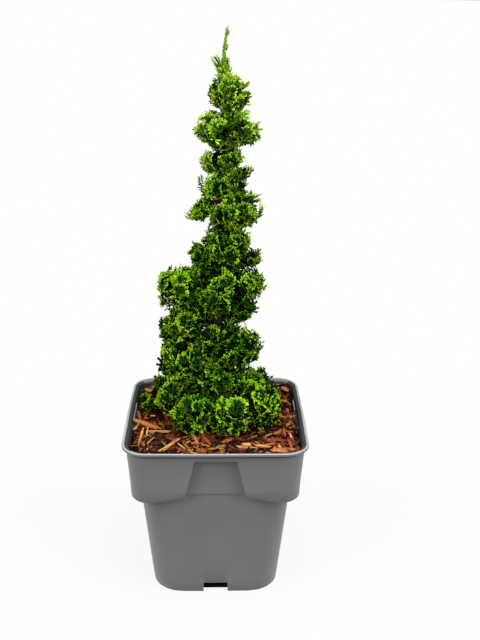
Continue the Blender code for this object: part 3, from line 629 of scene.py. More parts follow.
def pot_rings():
    """The pot's skin from its hollow foot, up the outside and over the lip."""
    foot = FOOT_HALF, FOOT_CORNER
    hollow = inset(foot, SKIRT)
    rings = [
        pot_ring(hollow, FLOOR_UNDERSIDE),
        pot_ring(hollow, EASE, notched=True),
        pot_ring(inset(hollow, -EASE), 0.0, notched=True),
        pot_ring(inset(foot, EASE), 0.0, notched=True),
        pot_ring(foot, EASE, notched=True),
    ]
    rings += [pot_ring(body_size(h * MM), h * MM) for h in (7.4, 20, 36, 52, 64)]
    top = BODY_TOP_HALF, BODY_TOP_CORNER
    low = COLLAR_LOW_HALF, COLLAR_LOW_CORNER
    for size, face, lift in (
        (top, BODY_TOP_HALF, -0.1 * MM),
        (inset(low, 3 * EASE), PANEL_LOW_FACE - EASE, 0.0),
        (inset(low, EASE), PANEL_LOW_FACE - 0.1 * EASE, 0.4 * EASE),
        (low, PANEL_LOW_FACE, 1.6 * EASE),
    ):
        rings.append(pot_ring(size, PANEL_LOW, (face, PANEL_LOW + lift), edge=lift))
    for height in (80 * MM, 86 * MM, 93 * MM, PANEL_TOP - EASE):
        face = mix(PANEL_TOP_FACE, PANEL_LOW_FACE, panel_share(height))
        rings.append(pot_ring(collar_size(height), height, (face, height)))
    at_top = collar_size(PANEL_TOP)
    rings.append(pot_ring(at_top, PANEL_TOP, (at_top[0] - EASE, PANEL_TOP)))
    rings.append(pot_ring(collar_size(PANEL_TOP + 2 * EASE), PANEL_TOP + 2 * EASE))
    collar = COLLAR_TOP_HALF, COLLAR_TOP_CORNER
    lip = LIP_HALF, LIP_CORNER
    for size, height in (
        (inset(collar, 0.1 * EASE), COLLAR_TOP - 1.3 * MM),
        (inset(collar, UNDERCUT), COLLAR_TOP - 0.7 * MM),
        (inset(collar, UNDERCUT), COLLAR_TOP + 0.2 * MM),
        (inset(lip, EASE), COLLAR_TOP + EASE),
        (lip, COLLAR_TOP + 2 * EASE),
        (lip, POT_HEIGHT - 1.6 * EASE),
        (inset(lip, 0.5 * EASE), POT_HEIGHT - 0.5 * EASE),
        (inset(lip, 1.5 * EASE), POT_HEIGHT),
        (inset(lip, LIP_WIDTH - EASE), POT_HEIGHT),
    ):
        rings.append(pot_ring(size, height))
    return rings


def inside_rings():
    """From the lip's inner edge down past the panels' backs, which stand in as ledges."""
    mouth = LIP_HALF - LIP_WIDTH, LIP_CORNER - LIP_WIDTH
    inside = inset((COLLAR_TOP_HALF, COLLAR_TOP_CORNER), WALL)
    ledge = inset(collar_size(PANEL_TOP), WALL)
    top = PANEL_TOP + WALL
    return [
        pot_ring(mouth, POT_HEIGHT - EASE),
        pot_ring(inset(mouth, 0.3 * EASE), POT_HEIGHT - 2 * EASE),
        pot_ring(inset(inside, -EASE), COLLAR_TOP + 1.2 * MM),
        pot_ring(inside, COLLAR_TOP),
        pot_ring(inside, top + EASE),
        pot_ring(ledge, top, (LEDGE_FACE + 0.5 * EASE, top)),
        pot_ring(ledge, top - EASE, (LEDGE_FACE, top - EASE)),
        pot_ring(inset(collar_size(INSIDE_LOW), WALL), INSIDE_LOW, (LEDGE_FACE, INSIDE_LOW)),
    ]


PAINTED_SHADE, PAINTED_HIGHLIGHT = 1, 2  # places in the pot's list of finishes


def pot_shell():
    outside = pot_rings()
    rings = outside + inside_rings()
    around, rows = len(rings[0]), len(rings) - 1
    bm = bmesh.new()
    bmesh.ops.create_grid(bm, x_segments=around, y_segments=rows, size=0.5)
    inner_faces = [f for f in bm.faces if (f.calc_center_median().y + 0.5) * rows > len(outside)]
    for v in bm.verts:
        column = round((v.co.x + 0.5) * around) % around
        v.co = rings[round((v.co.y + 0.5) * rows)][column]
    # Inner faces on the side walls, and low on the front and back, take the darker finish: painted shade.
    for f in inner_faces:
        centre = f.calc_center_median()
        if abs(centre.x) > abs(centre.y) or centre.z < UNSHADED_ABOVE:
            f.material_index = PAINTED_SHADE
    # The top of the lip takes the paler finish: painted highlight.
    for f in bm.faces:
        if f.calc_center_median().z > POT_HEIGHT - EASE:
            f.material_index = PAINTED_HIGHLIGHT
    bmesh.ops.remove_doubles(bm, verts=bm.verts, dist=0.001 * MM)
    ends = [edge for edge in bm.edges if edge.is_boundary]
    low_end = [edge for edge in ends if edge.verts[0].co.z < PANEL_LOW]
    bmesh.ops.contextual_create(bm, geom=[edge for edge in ends if edge.verts[0].co.z > PANEL_LOW])
    drains = []
    for x, y in ((0, 0), (1, 1), (1, -1), (-1, 1), (-1, -1)):
        hole = bmesh.ops.create_circle(bm, segments=20, radius=DRAIN_RADIUS,
                                       matrix=Matrix.Translation((x * DRAIN_OUT, y * DRAIN_OUT,
                                                                  FLOOR_UNDERSIDE)))
        rim = list({edge for v in hole["verts"] for edge in v.link_edges})
        drains += rim
        for v in extruded(bm, rim):
            v.co.z += WALL
    bmesh.ops.triangle_fill(bm, edges=low_end + drains, use_beauty=True)
    return mesh_of(bm, "pot_shell")


def label_clips():
    """Slim ridges inside the side walls, for a label or a carrier."""
    bm = bmesh.new()
    low, high = MULCH_TOP - 2 * MM, COLLAR_TOP - 0.3 * MM
    for out, near, far in CLIPS:
        middle = Vector((out, (near + far) / 2, (low + high) / 2))
        made = bmesh.ops.create_cube(bm, size=1, matrix=Matrix.Translation(middle)
                                     @ Matrix.Diagonal((CLIP_THICKNESS, far - near, high - low, 1)))
        edges = list({edge for v in made["verts"] for edge in v.link_edges})
        bmesh.ops.bevel(bm, geom=edges, offset=0.12 * MM, segments=2, affect="EDGES")
    return mesh_of(bm, "label_clips")


# ---------------------------------------------------------------- trunk and boughs

RIDGES = 2.6  # how closely the bark's ridges stand round a limb
RIDGE_LENGTH, KNOT_LENGTH = 9 * MM, 3.5 * MM
TRUNK_SIDES, TRUNK_RELIEF = 18, 0.16
BOUGH_SIDES, BOUGH_RELIEF, BOUGH_STEPS = 9, 0.2, 8


def bark_tube(bm, path, radii, sides, relief):
    """A tapering limb with upright ridges of bark, closed at both ends."""
    rings = []
    for i, (point, radius) in enumerate(zip(path, radii)):
        ahead = path[min(i + 1, len(path) - 1)] - path[max(i - 1, 0)]
        frame_here = ahead.to_track_quat("Z", "Y").to_matrix() if i else Matrix.Identity(3)
        ring = []
        for k in range(sides):
            around = heading(math.tau * k / sides)
            ridge = noise.noise(Vector((around.x * RIDGES, around.y * RIDGES, point.z / RIDGE_LENGTH)))
            knot = noise.noise(Vector((around.x, around.y, point.z / KNOT_LENGTH))) * 0.5
            swell = 1 + relief * (ridge + knot)
            ring.append(bm.verts.new(point + frame_here @ around * radius * swell))
        rings.append([bm.edges.new((ring[k - 1], ring[k])) for k in range(sides)])
    for lower, upper in zip(rings, rings[1:]):
        bmesh.ops.bridge_loops(bm, edges=lower + upper)
    for ring in (rings[0], rings[-1]):
        bmesh.ops.contextual_create(bm, geom=ring)


GREEN_STEM_FROM = 222 * MM


def trunk_and_boughs(boughs):
    bm = bmesh.new()
    path = smooth_path(TRUNK_PATH, 9)
    bark_tube(bm, path, [trunk_radius(p.z) for p in path], TRUNK_SIDES, TRUNK_RELIEF)
    for f in bm.faces:
        f.material_index = int(f.calc_center_median().z > GREEN_STEM_FROM)
    for start, end in boughs:
        shares = [i / BOUGH_STEPS for i in range(BOUGH_STEPS + 1)]
        radii = [mix(BOUGH_FOOT_RADIUS, BOUGH_TIP_RADIUS, share) for share in shares]
        bark_tube(bm, [start.lerp(end, share) for share in shares], radii, BOUGH_SIDES, BOUGH_RELIEF)
    return mesh_of(bm, "trunk_and_boughs")


# ---------------------------------------------------------------- sprays


def club(around, fullest):
    """A branchlet of scale leaves, of length and width 1: fullest short of its blunt end."""
    points, triangles = ball(around, 2)
    points[:, 0] += np.where(np.abs(points[:, 0]) < 0.1, fullest, 0.0)
    return points, triangles


FINGER = club(4, 0.32)
TOOTH = club(3, 0.34)
AT_TIP = 0.49  # a club's points beyond this are its blunt end, which is one tint lighter
SPRAY_PLANS = 12
TEETH = ((-1, 1), (-1, 0, 1), (-0.7, 0.7))  # how a branchlet may fork
FINGERS = (5, 6, 7)
FINGER_ANGLE = math.radians(20.5)  # between the branchlets of a fan
FINGER_LENGTHS = (0.86, 1.0)  # before the outer ones are made shorter
OUTER_SHORTER = 0.24
FINGER_REACH = 0.8  # of a branchlet's length, before its teeth go on
FINGER_WIDTH, TOOTH_WIDTH = 0.18, 0.14  # shares of a fan's length
FORK_AT, LOW_FORK_AT = (0.5, 0.6), (0.2, 0.35)  # shares of a branchlet's length
FORK_ANGLES, LOW_FORK_ANGLES = (16, 26), (28, 40)  # degrees
SIDE_TOOTH, MIDDLE_TOOTH = (0.7, 0.95), (0.9, 1.1)  # shares of what is left beyond the fork
LOW_TOOTH, BEARS_LOW_TOOTH = 0.42, 0.5  # its length, and how far out in the fan they begin
TOOTH_LIFTS = (-0.2, 0.6)
WAVER = 0.08  # of a branchlet's angle and slope
ALTERNATING = 0.07  # slope by which neighbouring branchlets part
FLATNESS = 0.55  # a branchlet's depth for its width


def spray_plan(rng):
    """One flat fan of length 1, as arrays: its points, its triangles and their steps of tint."""
    points, triangles, steps = [], [], []
    count = 0

    def branchlet(shape, root, angle, length, width, lift, step):
        nonlocal count
        here, faces = shape
        blade = here * (length, width, width * FLATNESS) + (length / 2, 0, 0)
        c, s = math.cos(angle), math.sin(angle)
        points.append(np.stack([blade[:, 0] * c - blade[:, 1] * s + root[0],
                                blade[:, 0] * s + blade[:, 1] * c + root[1],
                                blade[:, 2] + blade[:, 0] * lift + root[2]], axis=1))
        triangles.append(faces + count)
        tip = here[faces][:, :, 0].max(axis=1) > AT_TIP
        steps.append(np.where(tip, step + 1, step))
        count += len(here)

    def along(angle, distance, lift):
        return math.cos(angle) * distance, math.sin(angle) * distance, distance * lift

    fingers = rng.choice(FINGERS)
    for i in range(fingers):
        share = 2 * i / (fingers - 1) - 1
        angle = share * FINGER_ANGLE * (fingers - 1) / 2 + rng.uniform(-WAVER, WAVER)
        length = rng.uniform(*FINGER_LENGTHS) * (1 - OUTER_SHORTER * abs(share))
        lift = rng.uniform(-WAVER, WAVER) + (ALTERNATING if i % 2 else -ALTERNATING)
        # Every other branchlet is one step darker: painted shade between neighbouring ridges.
        branchlet(FINGER, (0, 0, 0), angle, length * FINGER_REACH, FINGER_WIDTH, lift, -1 - i % 2)
        for side in rng.choice(TEETH):
            at = length * rng.uniform(*FORK_AT)
            fork = angle + side * math.radians(rng.uniform(*FORK_ANGLES))
            reach = (length - at) * rng.uniform(*(SIDE_TOOTH if side else MIDDLE_TOOTH))
            branchlet(TOOTH, along(angle, at, lift), fork, reach, TOOTH_WIDTH,
                      lift + rng.uniform(*TOOTH_LIFTS), 0)
        if abs(share) > BEARS_LOW_TOOTH:
            at = length * rng.uniform(*LOW_FORK_AT)
            fork = angle + math.copysign(math.radians(rng.uniform(*LOW_FORK_ANGLES)), share)
            branchlet(TOOTH, along(angle, at, lift), fork, length * LOW_TOOTH, TOOTH_WIDTH, lift, -1)
    return np.concatenate(points), np.concatenate(triangles), np.concatenate(steps)


def put_spray(heap, plan, root, aim, normal, length, cup, curl, tint, rim=0, width=1.0):
    """Adds one spray: cupped across its line, curled along it, with a lighter rim."""
    points, triangles, steps = plan
    steps = steps + tint + np.where(steps >= 0, rim, 0)
    side = normal.cross(aim)
    lift = points[:, 2] + cup * points[:, 1] ** 2 + curl * points[:, 0] ** 2
    local = np.stack([points[:, 0], points[:, 1] * width, lift], axis=1) * length
    basis = np.array([aim, side, normal])
    heap.put(local @ basis + np.array(root), triangles, np.clip(steps, 0, len(LEAF_TINTS) - 1))


def three_sided_twig():
    bm = bmesh.new()
    bmesh.ops.create_cone(bm, cap_ends=True, segments=3, radius1=1.0, radius2=0.6, depth=1.0)
    return template(bm)


TWIG = three_sided_twig()


def put_twig(heap, start, end, radius, tint=0):
    points, triangles = TWIG
    ahead = end - start
    frame_here = np.array(ahead.to_track_quat("Z", "Y").to_matrix())
    scaled = points * (radius, radius, ahead.length) + (0, 0, ahead.length / 2)
    heap.put(scaled @ frame_here.T + np.array(start), triangles, tint)


# ---------------------------------------------------------------- plumes

SPRAY_AREA = 44 * MM * MM  # of a plume's skin for each outer spray
SKIN_POWER = 1.6  # of the usual rule for an ellipsoid's skin
LENGTHS = (10.0 * MM, 17.0 * MM)
SHORTEST, SHORTER_BY = 4.0 * MM, 0.7 * MM  # a fan that doesn't fit is made shorter in steps
TILTS = (12, 56)  # of a fan's line from the plume's skin, in degrees
TURN_WAVER = 0.3  # radians about the plume's upright axis
ROCKING = 0.35  # of a fan about its own line, in radians
CUPS, CURLS = (0.1, 0.7), (-0.25, 0.2)
FAN_HALF_WIDTH, WIDEST_AT = 0.64, 0.42  # shares of a fan's length
OUTER_TIPS, INNER_TIPS = (0.86, 1.0), (0.55, 0.8)  # shares of the plume's reach
SLIM = 11.0 * MM  # plumes thinner than this, half way, bear denser sprays
INNER_SHARE = 0.5
HEART_SHARE = 0.45
HEART_LEAST, HEART_LUMP, HEART_LUMPS, HEART_SWELL = 0.5 * MM, 5.0 * MM, 3.1, 0.35
SLACK = 1.06  # of the ellipsoid, in squares, for the corners of a fan
MORE_SLACK = 0.12  # near the top, where the plumes are ragged
TIP_OVER = 0.5 * MM
ROOT_GAP = 0.4 * MM
LIMBS_WITHIN = 3  # Plume.depth to which fans look out for limbs
TWIG_ROOTS = (0.6, 1.0)  # shares of the stem's length
TOO_UPRIGHT = 0.2  # below this the upward line along the skin is too short to follow
OUTWARD_SWEEP = 1.5  # how far the fans near the top lean away from the trunk
STRAYING = 0.9, 0.3  # of a fan from its line, in radians, without a sweep and with a whole one
MOST_SWEEP = 0.85
# How much lighter the foliage is with height, in steps of tint: (height, steps).
LIGHTER = ((205 * MM, 0.0), (243 * MM, 0.7), (280 * MM, 0.8), (308 * MM, 1.4))
# Sprays inside a plume take darker tints than the outer ones: painted shade.
OUTER_TINT, INNER_TINTS = 3, (1, 1, 2)
DULL_SHARE, FRESH_SHARE = 0.2, 0.2  # of the outer sprays, where a plume has no new growth of its own


def heart(heap, plume):
    """The dense inside of a plume, near-black as painted shade."""
    bm = bmesh.new()
    bmesh.ops.create_icosphere(bm, subdivisions=3, radius=1)
    for v in bm.verts:
        direction = v.co.normalized()
        swell = 1 + HEART_SWELL * noise.noise(direction * HEART_LUMPS + plume.centre / HEART_LUMP)
        v.co = plume.centre + direction * max(HEART_LEAST, plume.reach(direction) * HEART_SHARE * swell)
    points, triangles = template(bm)
    # Tint 0, near black: painted shade.
    heap.put(points, triangles, 0)


def lighter_steps(height):
    return float(np.interp(height, *zip(*LIGHTER)))


def spray_tint(plume, outside, height, rng):
    """A spray's tint, and how many steps lighter its rim is for new growth."""
    lighter = int(lighter_steps(height) + rng.random())
    if not outside:
        return rng.choice(INNER_TINTS) + lighter, 0
    tint = OUTER_TINT + lighter - (rng.random() < DULL_SHARE)
    return tint, int(rng.random() < FRESH_SHARE + plume.fresh)


def fan_at(plume, direction, tip, sweep, near, rng):
    """Where a fan that ends at tip grows: (root, aim, normal, length), or None where none fits."""
    length = rng.uniform(*LENGTHS)
    tilt = math.radians(rng.uniform(*TILTS))
    onward = UP + plume.outward * OUTWARD_SWEEP * sweep
    along = onward - direction * direction.dot(onward)
    if along.length < TOO_UPRIGHT:
        along = plume.outward - direction * direction.dot(plume.outward)
    along = Matrix.Rotation(rng.gauss(0, mix(*STRAYING, sweep)), 3, direction) @ along.normalized()
    aim = along * math.cos(tilt) + direction * math.sin(tilt)
    flat = (direction - aim * direction.dot(aim)).normalized()
    normal = Matrix.Rotation(rng.gauss(0, ROCKING), 3, aim) @ flat
    side = normal.cross(aim) * FAN_HALF_WIDTH
    while length > SHORTEST:
        root = tip - aim * length
        widest = root + aim * length * WIDEST_AT
        ends = [root, tip, widest + side * length, widest - side * length]
        if all(plume.holds(p, SLACK + sweep * MORE_SLACK, TIP_OVER) for p in ends) and all(
                limb.gap(p) > LIMB_GAP for limb in near for p in ends[1:]):
            break
        length -= SHORTER_BY
    if length <= SHORTEST or any(limb.gap(root) < ROOT_GAP for limb in near):
        return None
    return root, aim, normal, length


def sprays_of(plume, limbs, heap, twigs, stem_start, plans, rng):
    """Twigs and sprays all round a plume, turning by the golden angle."""
    a, b, c = plume.half
    mean = sum((p * q) ** SKIN_POWER for p, q in ((a, b), (a, c), (b, c))) / 3
    skin = 4 * math.pi * mean ** (1 / SKIN_POWER)
    outer = round(skin / (SPRAY_AREA * min(1.0, min(plume.half) / SLIM)))
    inner = round(outer * INNER_SHARE)
    own = [limb for limb in limbs if not (limb.stem and limb.owner == plume.name)]
    near = [limb for limb in own if plume.depth(limb.nearest(plume.centre)) < LIMBS_WITHIN]
    sweep = min(MOST_SWEEP, lighter_steps(plume.centre.z))
    for i in range(outer + inner):
        outside = i < outer
        k = i if outside else i - outer
        height = 1 - 2 * (k + 0.5) / (outer if outside else inner)
        turn = k * GOLDEN_ANGLE + rng.uniform(-TURN_WAVER, TURN_WAVER)
        level = math.sqrt(1 - height * height)
        direction = Vector((math.cos(turn) * level, math.sin(turn) * level, height))
        tip = plume.centre + direction * plume.reach(direction) * rng.uniform(
            *(OUTER_TIPS if outside else INNER_TIPS))
        for swept in (sweep, sweep / 2, 0.0):
            fan = fan_at(plume, direction, tip, swept, near, rng)
            if fan:
                break
        if not fan:
            continue
        root, aim, normal, length = fan
        put_spray(heap, rng.choice(plans), root, aim, normal, length, rng.uniform(*CUPS),
                  rng.uniform(*CURLS), *spray_tint(plume, outside, root.z, rng))
        put_twig(twigs, stem_start.lerp(plume.centre, rng.uniform(*TWIG_ROOTS)), root, TWIG_RADIUS)


# ---------------------------------------------------------------- shoots on the trunk and leader

TRUNK_SHOOTS = 120
SHOOTS_FROM, SHOOTS_TO = 162 * MM, 316 * MM
SHOOTS_CROWDING = 0.7  # under 1 the shoots stand closer together upwards
SHOOT_LEANS = (0.4, 0.9)  # outward for each 1 up
SHOOT_LENGTHS = (6.5 * MM, 9.5 * MM)
SHOOT_WIDTH, SHOOT_CUP, SHOOT_TURNING = 0.7, 0.4, 0.5
# Sprays on the leader and the trunk's tip: (height, bearing in degrees, outward for each 1 up, length).
LEADER_SPRAYS = [
    (297.0 * MM, -14, 1.3, 19.0 * MM),
    (300.5 * MM, 12, 1.2, 20.0 * MM),
    (314.0 * MM, 215, 0.6, 8.0 * MM),
    (314.5 * MM, -60, 0.4, 8.0 * MM),
    (315.0 * MM, 150, 0.7, 8.0 * MM),
    (315.5 * MM, -20, 0.3, 9.0 * MM),
    (315.5 * MM, 172, 0.6, 8.0 * MM),
    (316.0 * MM, 184, 0.62, 14.0 * MM),
    (317.0 * MM, -8, 0.24, 11.0 * MM),
    (322.0 * MM, -100, 0.3, 4.0 * MM),
    (328.0 * MM, 10, 0.6, 5.0 * MM),
    (336.0 * MM, 10, 0.6, 4.0 * MM),
    (338.0 * MM, 160, 0.3, 2.6 * MM),
]
LEADER_TINT = 4
LEADER_SPRAY_WIDTH, LEADER_CUP, LEADER_CURL = 0.42, 0.2, -0.1
LEADER_STEM = ((314 * MM, 327 * MM, 1.1 * MM), (327 * MM, 339.5 * MM, 0.8 * MM))  # from, to, radius
NEARLY_EDGE_ON = 0.4  # a spray that leans less to the front or back than this shows its flat side
LEADER_NUBS = 80
NUB_SIZES = 2.5 * MM, 1.5 * MM  # length of a nub low and high on the leader
NUB_OFF_AXIS = 0.7 * MM, 0.2 * MM
NUB_LEAN, NUB_SHAPE = 0.3, (1, 0.6, 0.4)


def trunk_shoots(heaps, plans, rng):
    """Short sprays that hide the trunk, closer together upwards. heaps: (heap, from this height)."""
    for i in range(TRUNK_SHOOTS):
        share = ((i + rng.random()) / TRUNK_SHOOTS) ** SHOOTS_CROWDING
        height = mix(SHOOTS_FROM, SHOOTS_TO, share)
        outward = heading(i * GOLDEN_ANGLE)
        root = trunk_at(height) + outward * trunk_radius(height)
        aim = (outward * rng.uniform(*SHOOT_LEANS) + UP).normalized()
        flat = outward.cross(UP).cross(aim).normalized()
        normal = Matrix.Rotation(rng.gauss(0, SHOOT_TURNING), 3, aim) @ flat
        heap = [heap for heap, low in heaps if height >= low][-1]
        tint = OUTER_TINT + int(lighter_steps(height) + rng.random())
        put_spray(heap, rng.choice(plans), root, aim, normal, rng.uniform(*SHOOT_LENGTHS), SHOOT_CUP, 0.0,
                  tint, rim=i % 2, width=SHOOT_WIDTH)


def leader_at(height):
    """The axis of the bowed leader, or the trunk's below it."""
    point = trunk_at(height)
    foot = TRUNK_PATH[-1].z
    share = max(0.0, (height - foot) / (LEADER_TOP.z - foot))
    point.x -= LEADER_BOW * (1 - abs(2 * share - 1))
    return point


def leader_sprays(heap, plans, rng):
    """The growing tip: a slim stem clothed in scale leaves, with a few short sprays."""
    for height, bearing, lean, length in LEADER_SPRAYS:
        outward = heading(math.radians(bearing))
        aim = (outward * lean + UP).normalized()
        across = Vector((0, -1, 0)).cross(aim) if abs(aim.y) < NEARLY_EDGE_ON else outward
        put_spray(heap, rng.choice(plans), leader_at(height), aim, across.cross(aim).normalized(), length,
                  LEADER_CUP, LEADER_CURL, LEADER_TINT, width=LEADER_SPRAY_WIDTH)
    for low, high, radius in LEADER_STEM:
        put_twig(heap, leader_at(low), leader_at(high), radius, LEADER_TINT)
    points, triangles = TOOTH
    for i in range(LEADER_NUBS):
        share = (i + 0.5) / LEADER_NUBS
        outward = heading(i * GOLDEN_ANGLE)
        aim = (outward * NUB_LEAN + UP).normalized()
        side = UP.cross(outward)
        basis = np.array([aim, side, aim.cross(side)])
        shape = np.array(NUB_SHAPE) * mix(*NUB_SIZES, share)
        root = leader_at(mix(TRUNK_PATH[-1].z, LEADER_TOP.z, share)) + outward * mix(*NUB_OFF_AXIS, share)
        heap.put((points + (0.5, 0, 0)) * shape @ basis + np.array(root), triangles,
                 LEADER_TINT + (i % 3 == 0))


# ---------------------------------------------------------------- mulch

# Colours of the shreds, from wet and dark to dry and pale, and their shares.
BARK_TINTS = ["#030201", "#120803", "#260f05", "#42190a", "#602b12", "#80401b", "#9c5c2c", "#ab743c",
              "#bf9654", "#7c6a2a", "#76331c"]
TINT_SHARES = (0.13, 0.15, 0.15, 0.15, 0.13, 0.1, 0.07, 0.04, 0.02, 0.02, 0.04)
# Layers of shreds: (pitch, shortest, longest, lift).
SHRED_LAYERS = [
    (2.4 * MM, 3.5 * MM, 10.0 * MM, -0.2 * MM),
    (2.6 * MM, 4.5 * MM, 13.0 * MM, 0.6 * MM),
    (3.8 * MM, 6.0 * MM, 18.0 * MM, 1.4 * MM),
]
SHRED_WIDTHS, WIDEST_SHRED = (0.08, 0.22), 1.7 * MM  # shares of the length
SHRED_THICKNESS = (0.3, 0.9)  # millimetres
SHRED_TILT, SHRED_ROLL, SHRED_LOOSE = 0.17, 0.6, 0.6  # radians, and millimetres of lift
NARROW_ENDS, BROAD_ENDS, SPLIT = (0.15, 0.5), (0.7, 1.0), 0.4
CLEAR_OF_TRUNK = 7 * MM
LUMPS = ((13 * MM, 1.3), (4.5 * MM, 0.9))  # (size, height in millimetres)
SUNK, HEAPED = 0.5, 2.0  # millimetres below the solid's top, and above it at the walls
HEAPED_FROM, HEAP_WIDTH = 0.7, 0.3  # shares of the way to the wall
ON_LEDGE = 0.6  # share of the heap's width where it has to cover the panels' backs
BED_CELLS, BED_UNDER, BED_CLEAR = 64, 1.6 * MM, 0.4 * MM


def mulch_height(x, y):
    """The uneven top of the mulch, heaped a little towards the walls."""
    place = Vector((x, y, 0))
    rough = sum(high * noise.noise(place / size) for size, high in LUMPS)
    edge = max(0.0, max(abs(x), abs(y)) / INNER_HALF - HEAPED_FROM) / HEAP_WIDTH
    height = MULCH_TOP + (rough - SUNK + HEAPED * edge) * MM
    on_ledge = edge > ON_LEDGE and min(abs(x), abs(y)) < LEDGE_HALF_WIDTH
    return max(height, PANEL_TOP + WALL + CLEAR) if on_ledge else height


def mulch_bed():
    """The dark ground between the shreds."""
    bm = bmesh.new()
    bmesh.ops.create_grid(bm, x_segments=BED_CELLS, y_segments=BED_CELLS, size=INNER_HALF)
    corner = INNER_HALF - COLLAR_TOP_CORNER
    for v in bm.verts:
        for axis in (0, 1):
            if abs(v.co[1 - axis]) < LEDGE_HALF_WIDTH:
                limit = LEDGE_FACE - BED_CLEAR
                v.co[axis] = max(-limit, min(limit, v.co[axis]))
        past = Vector((max(0.0, abs(v.co.x) - corner), max(0.0, abs(v.co.y) - corner)))
        if past.length > COLLAR_TOP_CORNER:
            past *= COLLAR_TOP_CORNER / past.length
            v.co.x = math.copysign(corner + past.x, v.co.x)
            v.co.y = math.copysign(corner + past.y, v.co.y)
        v.co.z = mulch_height(v.co.x, v.co.y) - BED_UNDER
    for v in extruded(bm, [edge for edge in bm.edges if edge.is_boundary]):
        v.co.z = INSIDE_LOW + 0.5 * MM
    return mesh_of(bm, "mulch_bed")


def chip_template():
    """A box with a joint in the middle of its length, for one shred."""
    bm = bmesh.new()
    bmesh.ops.create_cube(bm, size=1)
    along = [e for e in bm.edges if abs((e.verts[0].co - e.verts[1].co).x) > 0.5]
    bmesh.ops.subdivide_edges(bm, edges=along, cuts=1)
    return template(bm)


CHIP = chip_template()


def put_chip(heap, centre, size, turn, tilt, roll, tint, rng):
    """One shred: straight, with slanting ends, one of them narrower."""
    points, triangles = CHIP
    shape = points.copy()
    slant = rng.uniform(-0.5, 0.5) * min(1.0, 2 * size[1] / size[0])
    narrow = rng.choice((-1, 1))
    for sign in (-1, 1):
        end = shape[:, 0] * sign > 0.3
        shape[end, 0] += shape[end, 1] * slant
        shape[end, 1] *= rng.uniform(*(NARROW_ENDS if sign == narrow else BROAD_ENDS))
        shape[end, 2] += rng.uniform(-SPLIT, SPLIT)
    matrix = Matrix.Rotation(turn, 3, "Z") @ Matrix.Rotation(tilt, 3, "Y") @ Matrix.Rotation(roll, 3, "X")
    heap.put(shape * size @ np.array(matrix).T + np.array(centre), triangles, tint)


def in_pot(x, y, margin=0.5 * MM):
    """Whether a place on the mulch lies inside the wall."""
    if max(abs(x), abs(y)) > INNER_HALF - margin:
        return False
    corner = INNER_HALF - COLLAR_TOP_CORNER
    return math.hypot(max(0, abs(x) - corner), max(0, abs(y) - corner)) < COLLAR_TOP_CORNER - margin


# The larger pieces that lie on top, in millimetres: from x, y to x, y, width, lift, tint.
LARGE_CHIPS = [
    (-52, -4, -34, -16, 5.0, 3.0, 7),
    (-43, -17, -28, -18, 1.8, 2.6, 8),
    (-45, -16, -46, -39, 1.5, 2.8, 8),
    (-33, -45, -21, -26, 2.0, 2.6, 8),
    (-22, -26, -13, -22, 1.4, 2.6, 6),
    (-23, -33, -16, -43, 1.2, 2.2, 8),
    (-20, -30, -15, -42, 1.0, 2.4, 9),
    (-14, -22, -10, -38, 2.8, 2.6, 7),
    (-10, -20, -3, -35, 4.2, 2.0, 5),
    (-11, -44, 9, -35, 2.2, 2.0, 9),
    (3, -44, 7, -42, 3.2, 2.6, 6),
    (16, -36, 21, -36, 4.6, 3.0, 8),
    (24, -38, 33, -39, 2.4, 2.8, 8),
    (21, -32, 26, -39, 1.2, 2.4, 6),
    (33, -45, 42, -46, 1.8, 2.4, 8),
    (28, -26, 38, -34, 2.4, 2.0, 10),
    (34, -27, 43, -31, 3.0, 1.8, 10),
    (36, -22, 42, -15, 2.0, 2.6, 7),
    (42, -16, 43, -26, 1.4, 2.4, 6),
    (38, 5, 46, -5, 1.3, 2.8, 8),
    (39, -11, 49, -10, 2.2, 2.2, 5),
    (45, 24, 48, 20, 1.6, 2.8, 8),
    (46, 44, 49, 36, 3.6, 2.6, 7),
    (36, 49, 44, 49, 2.0, 2.4, 7),
    (-49, 33, -42, 29, 2.4, 2.8, 9),
    (-49, 42, -41, 38, 4.0, 2.4, 7),
    (-44, 46, -34, 41, 3.0, 2.6, 6),
]
STREAKS = ((1, 0.85), (0, 1.0), (2, 0.7))  # across a large chip: (steps darker, share of its length)


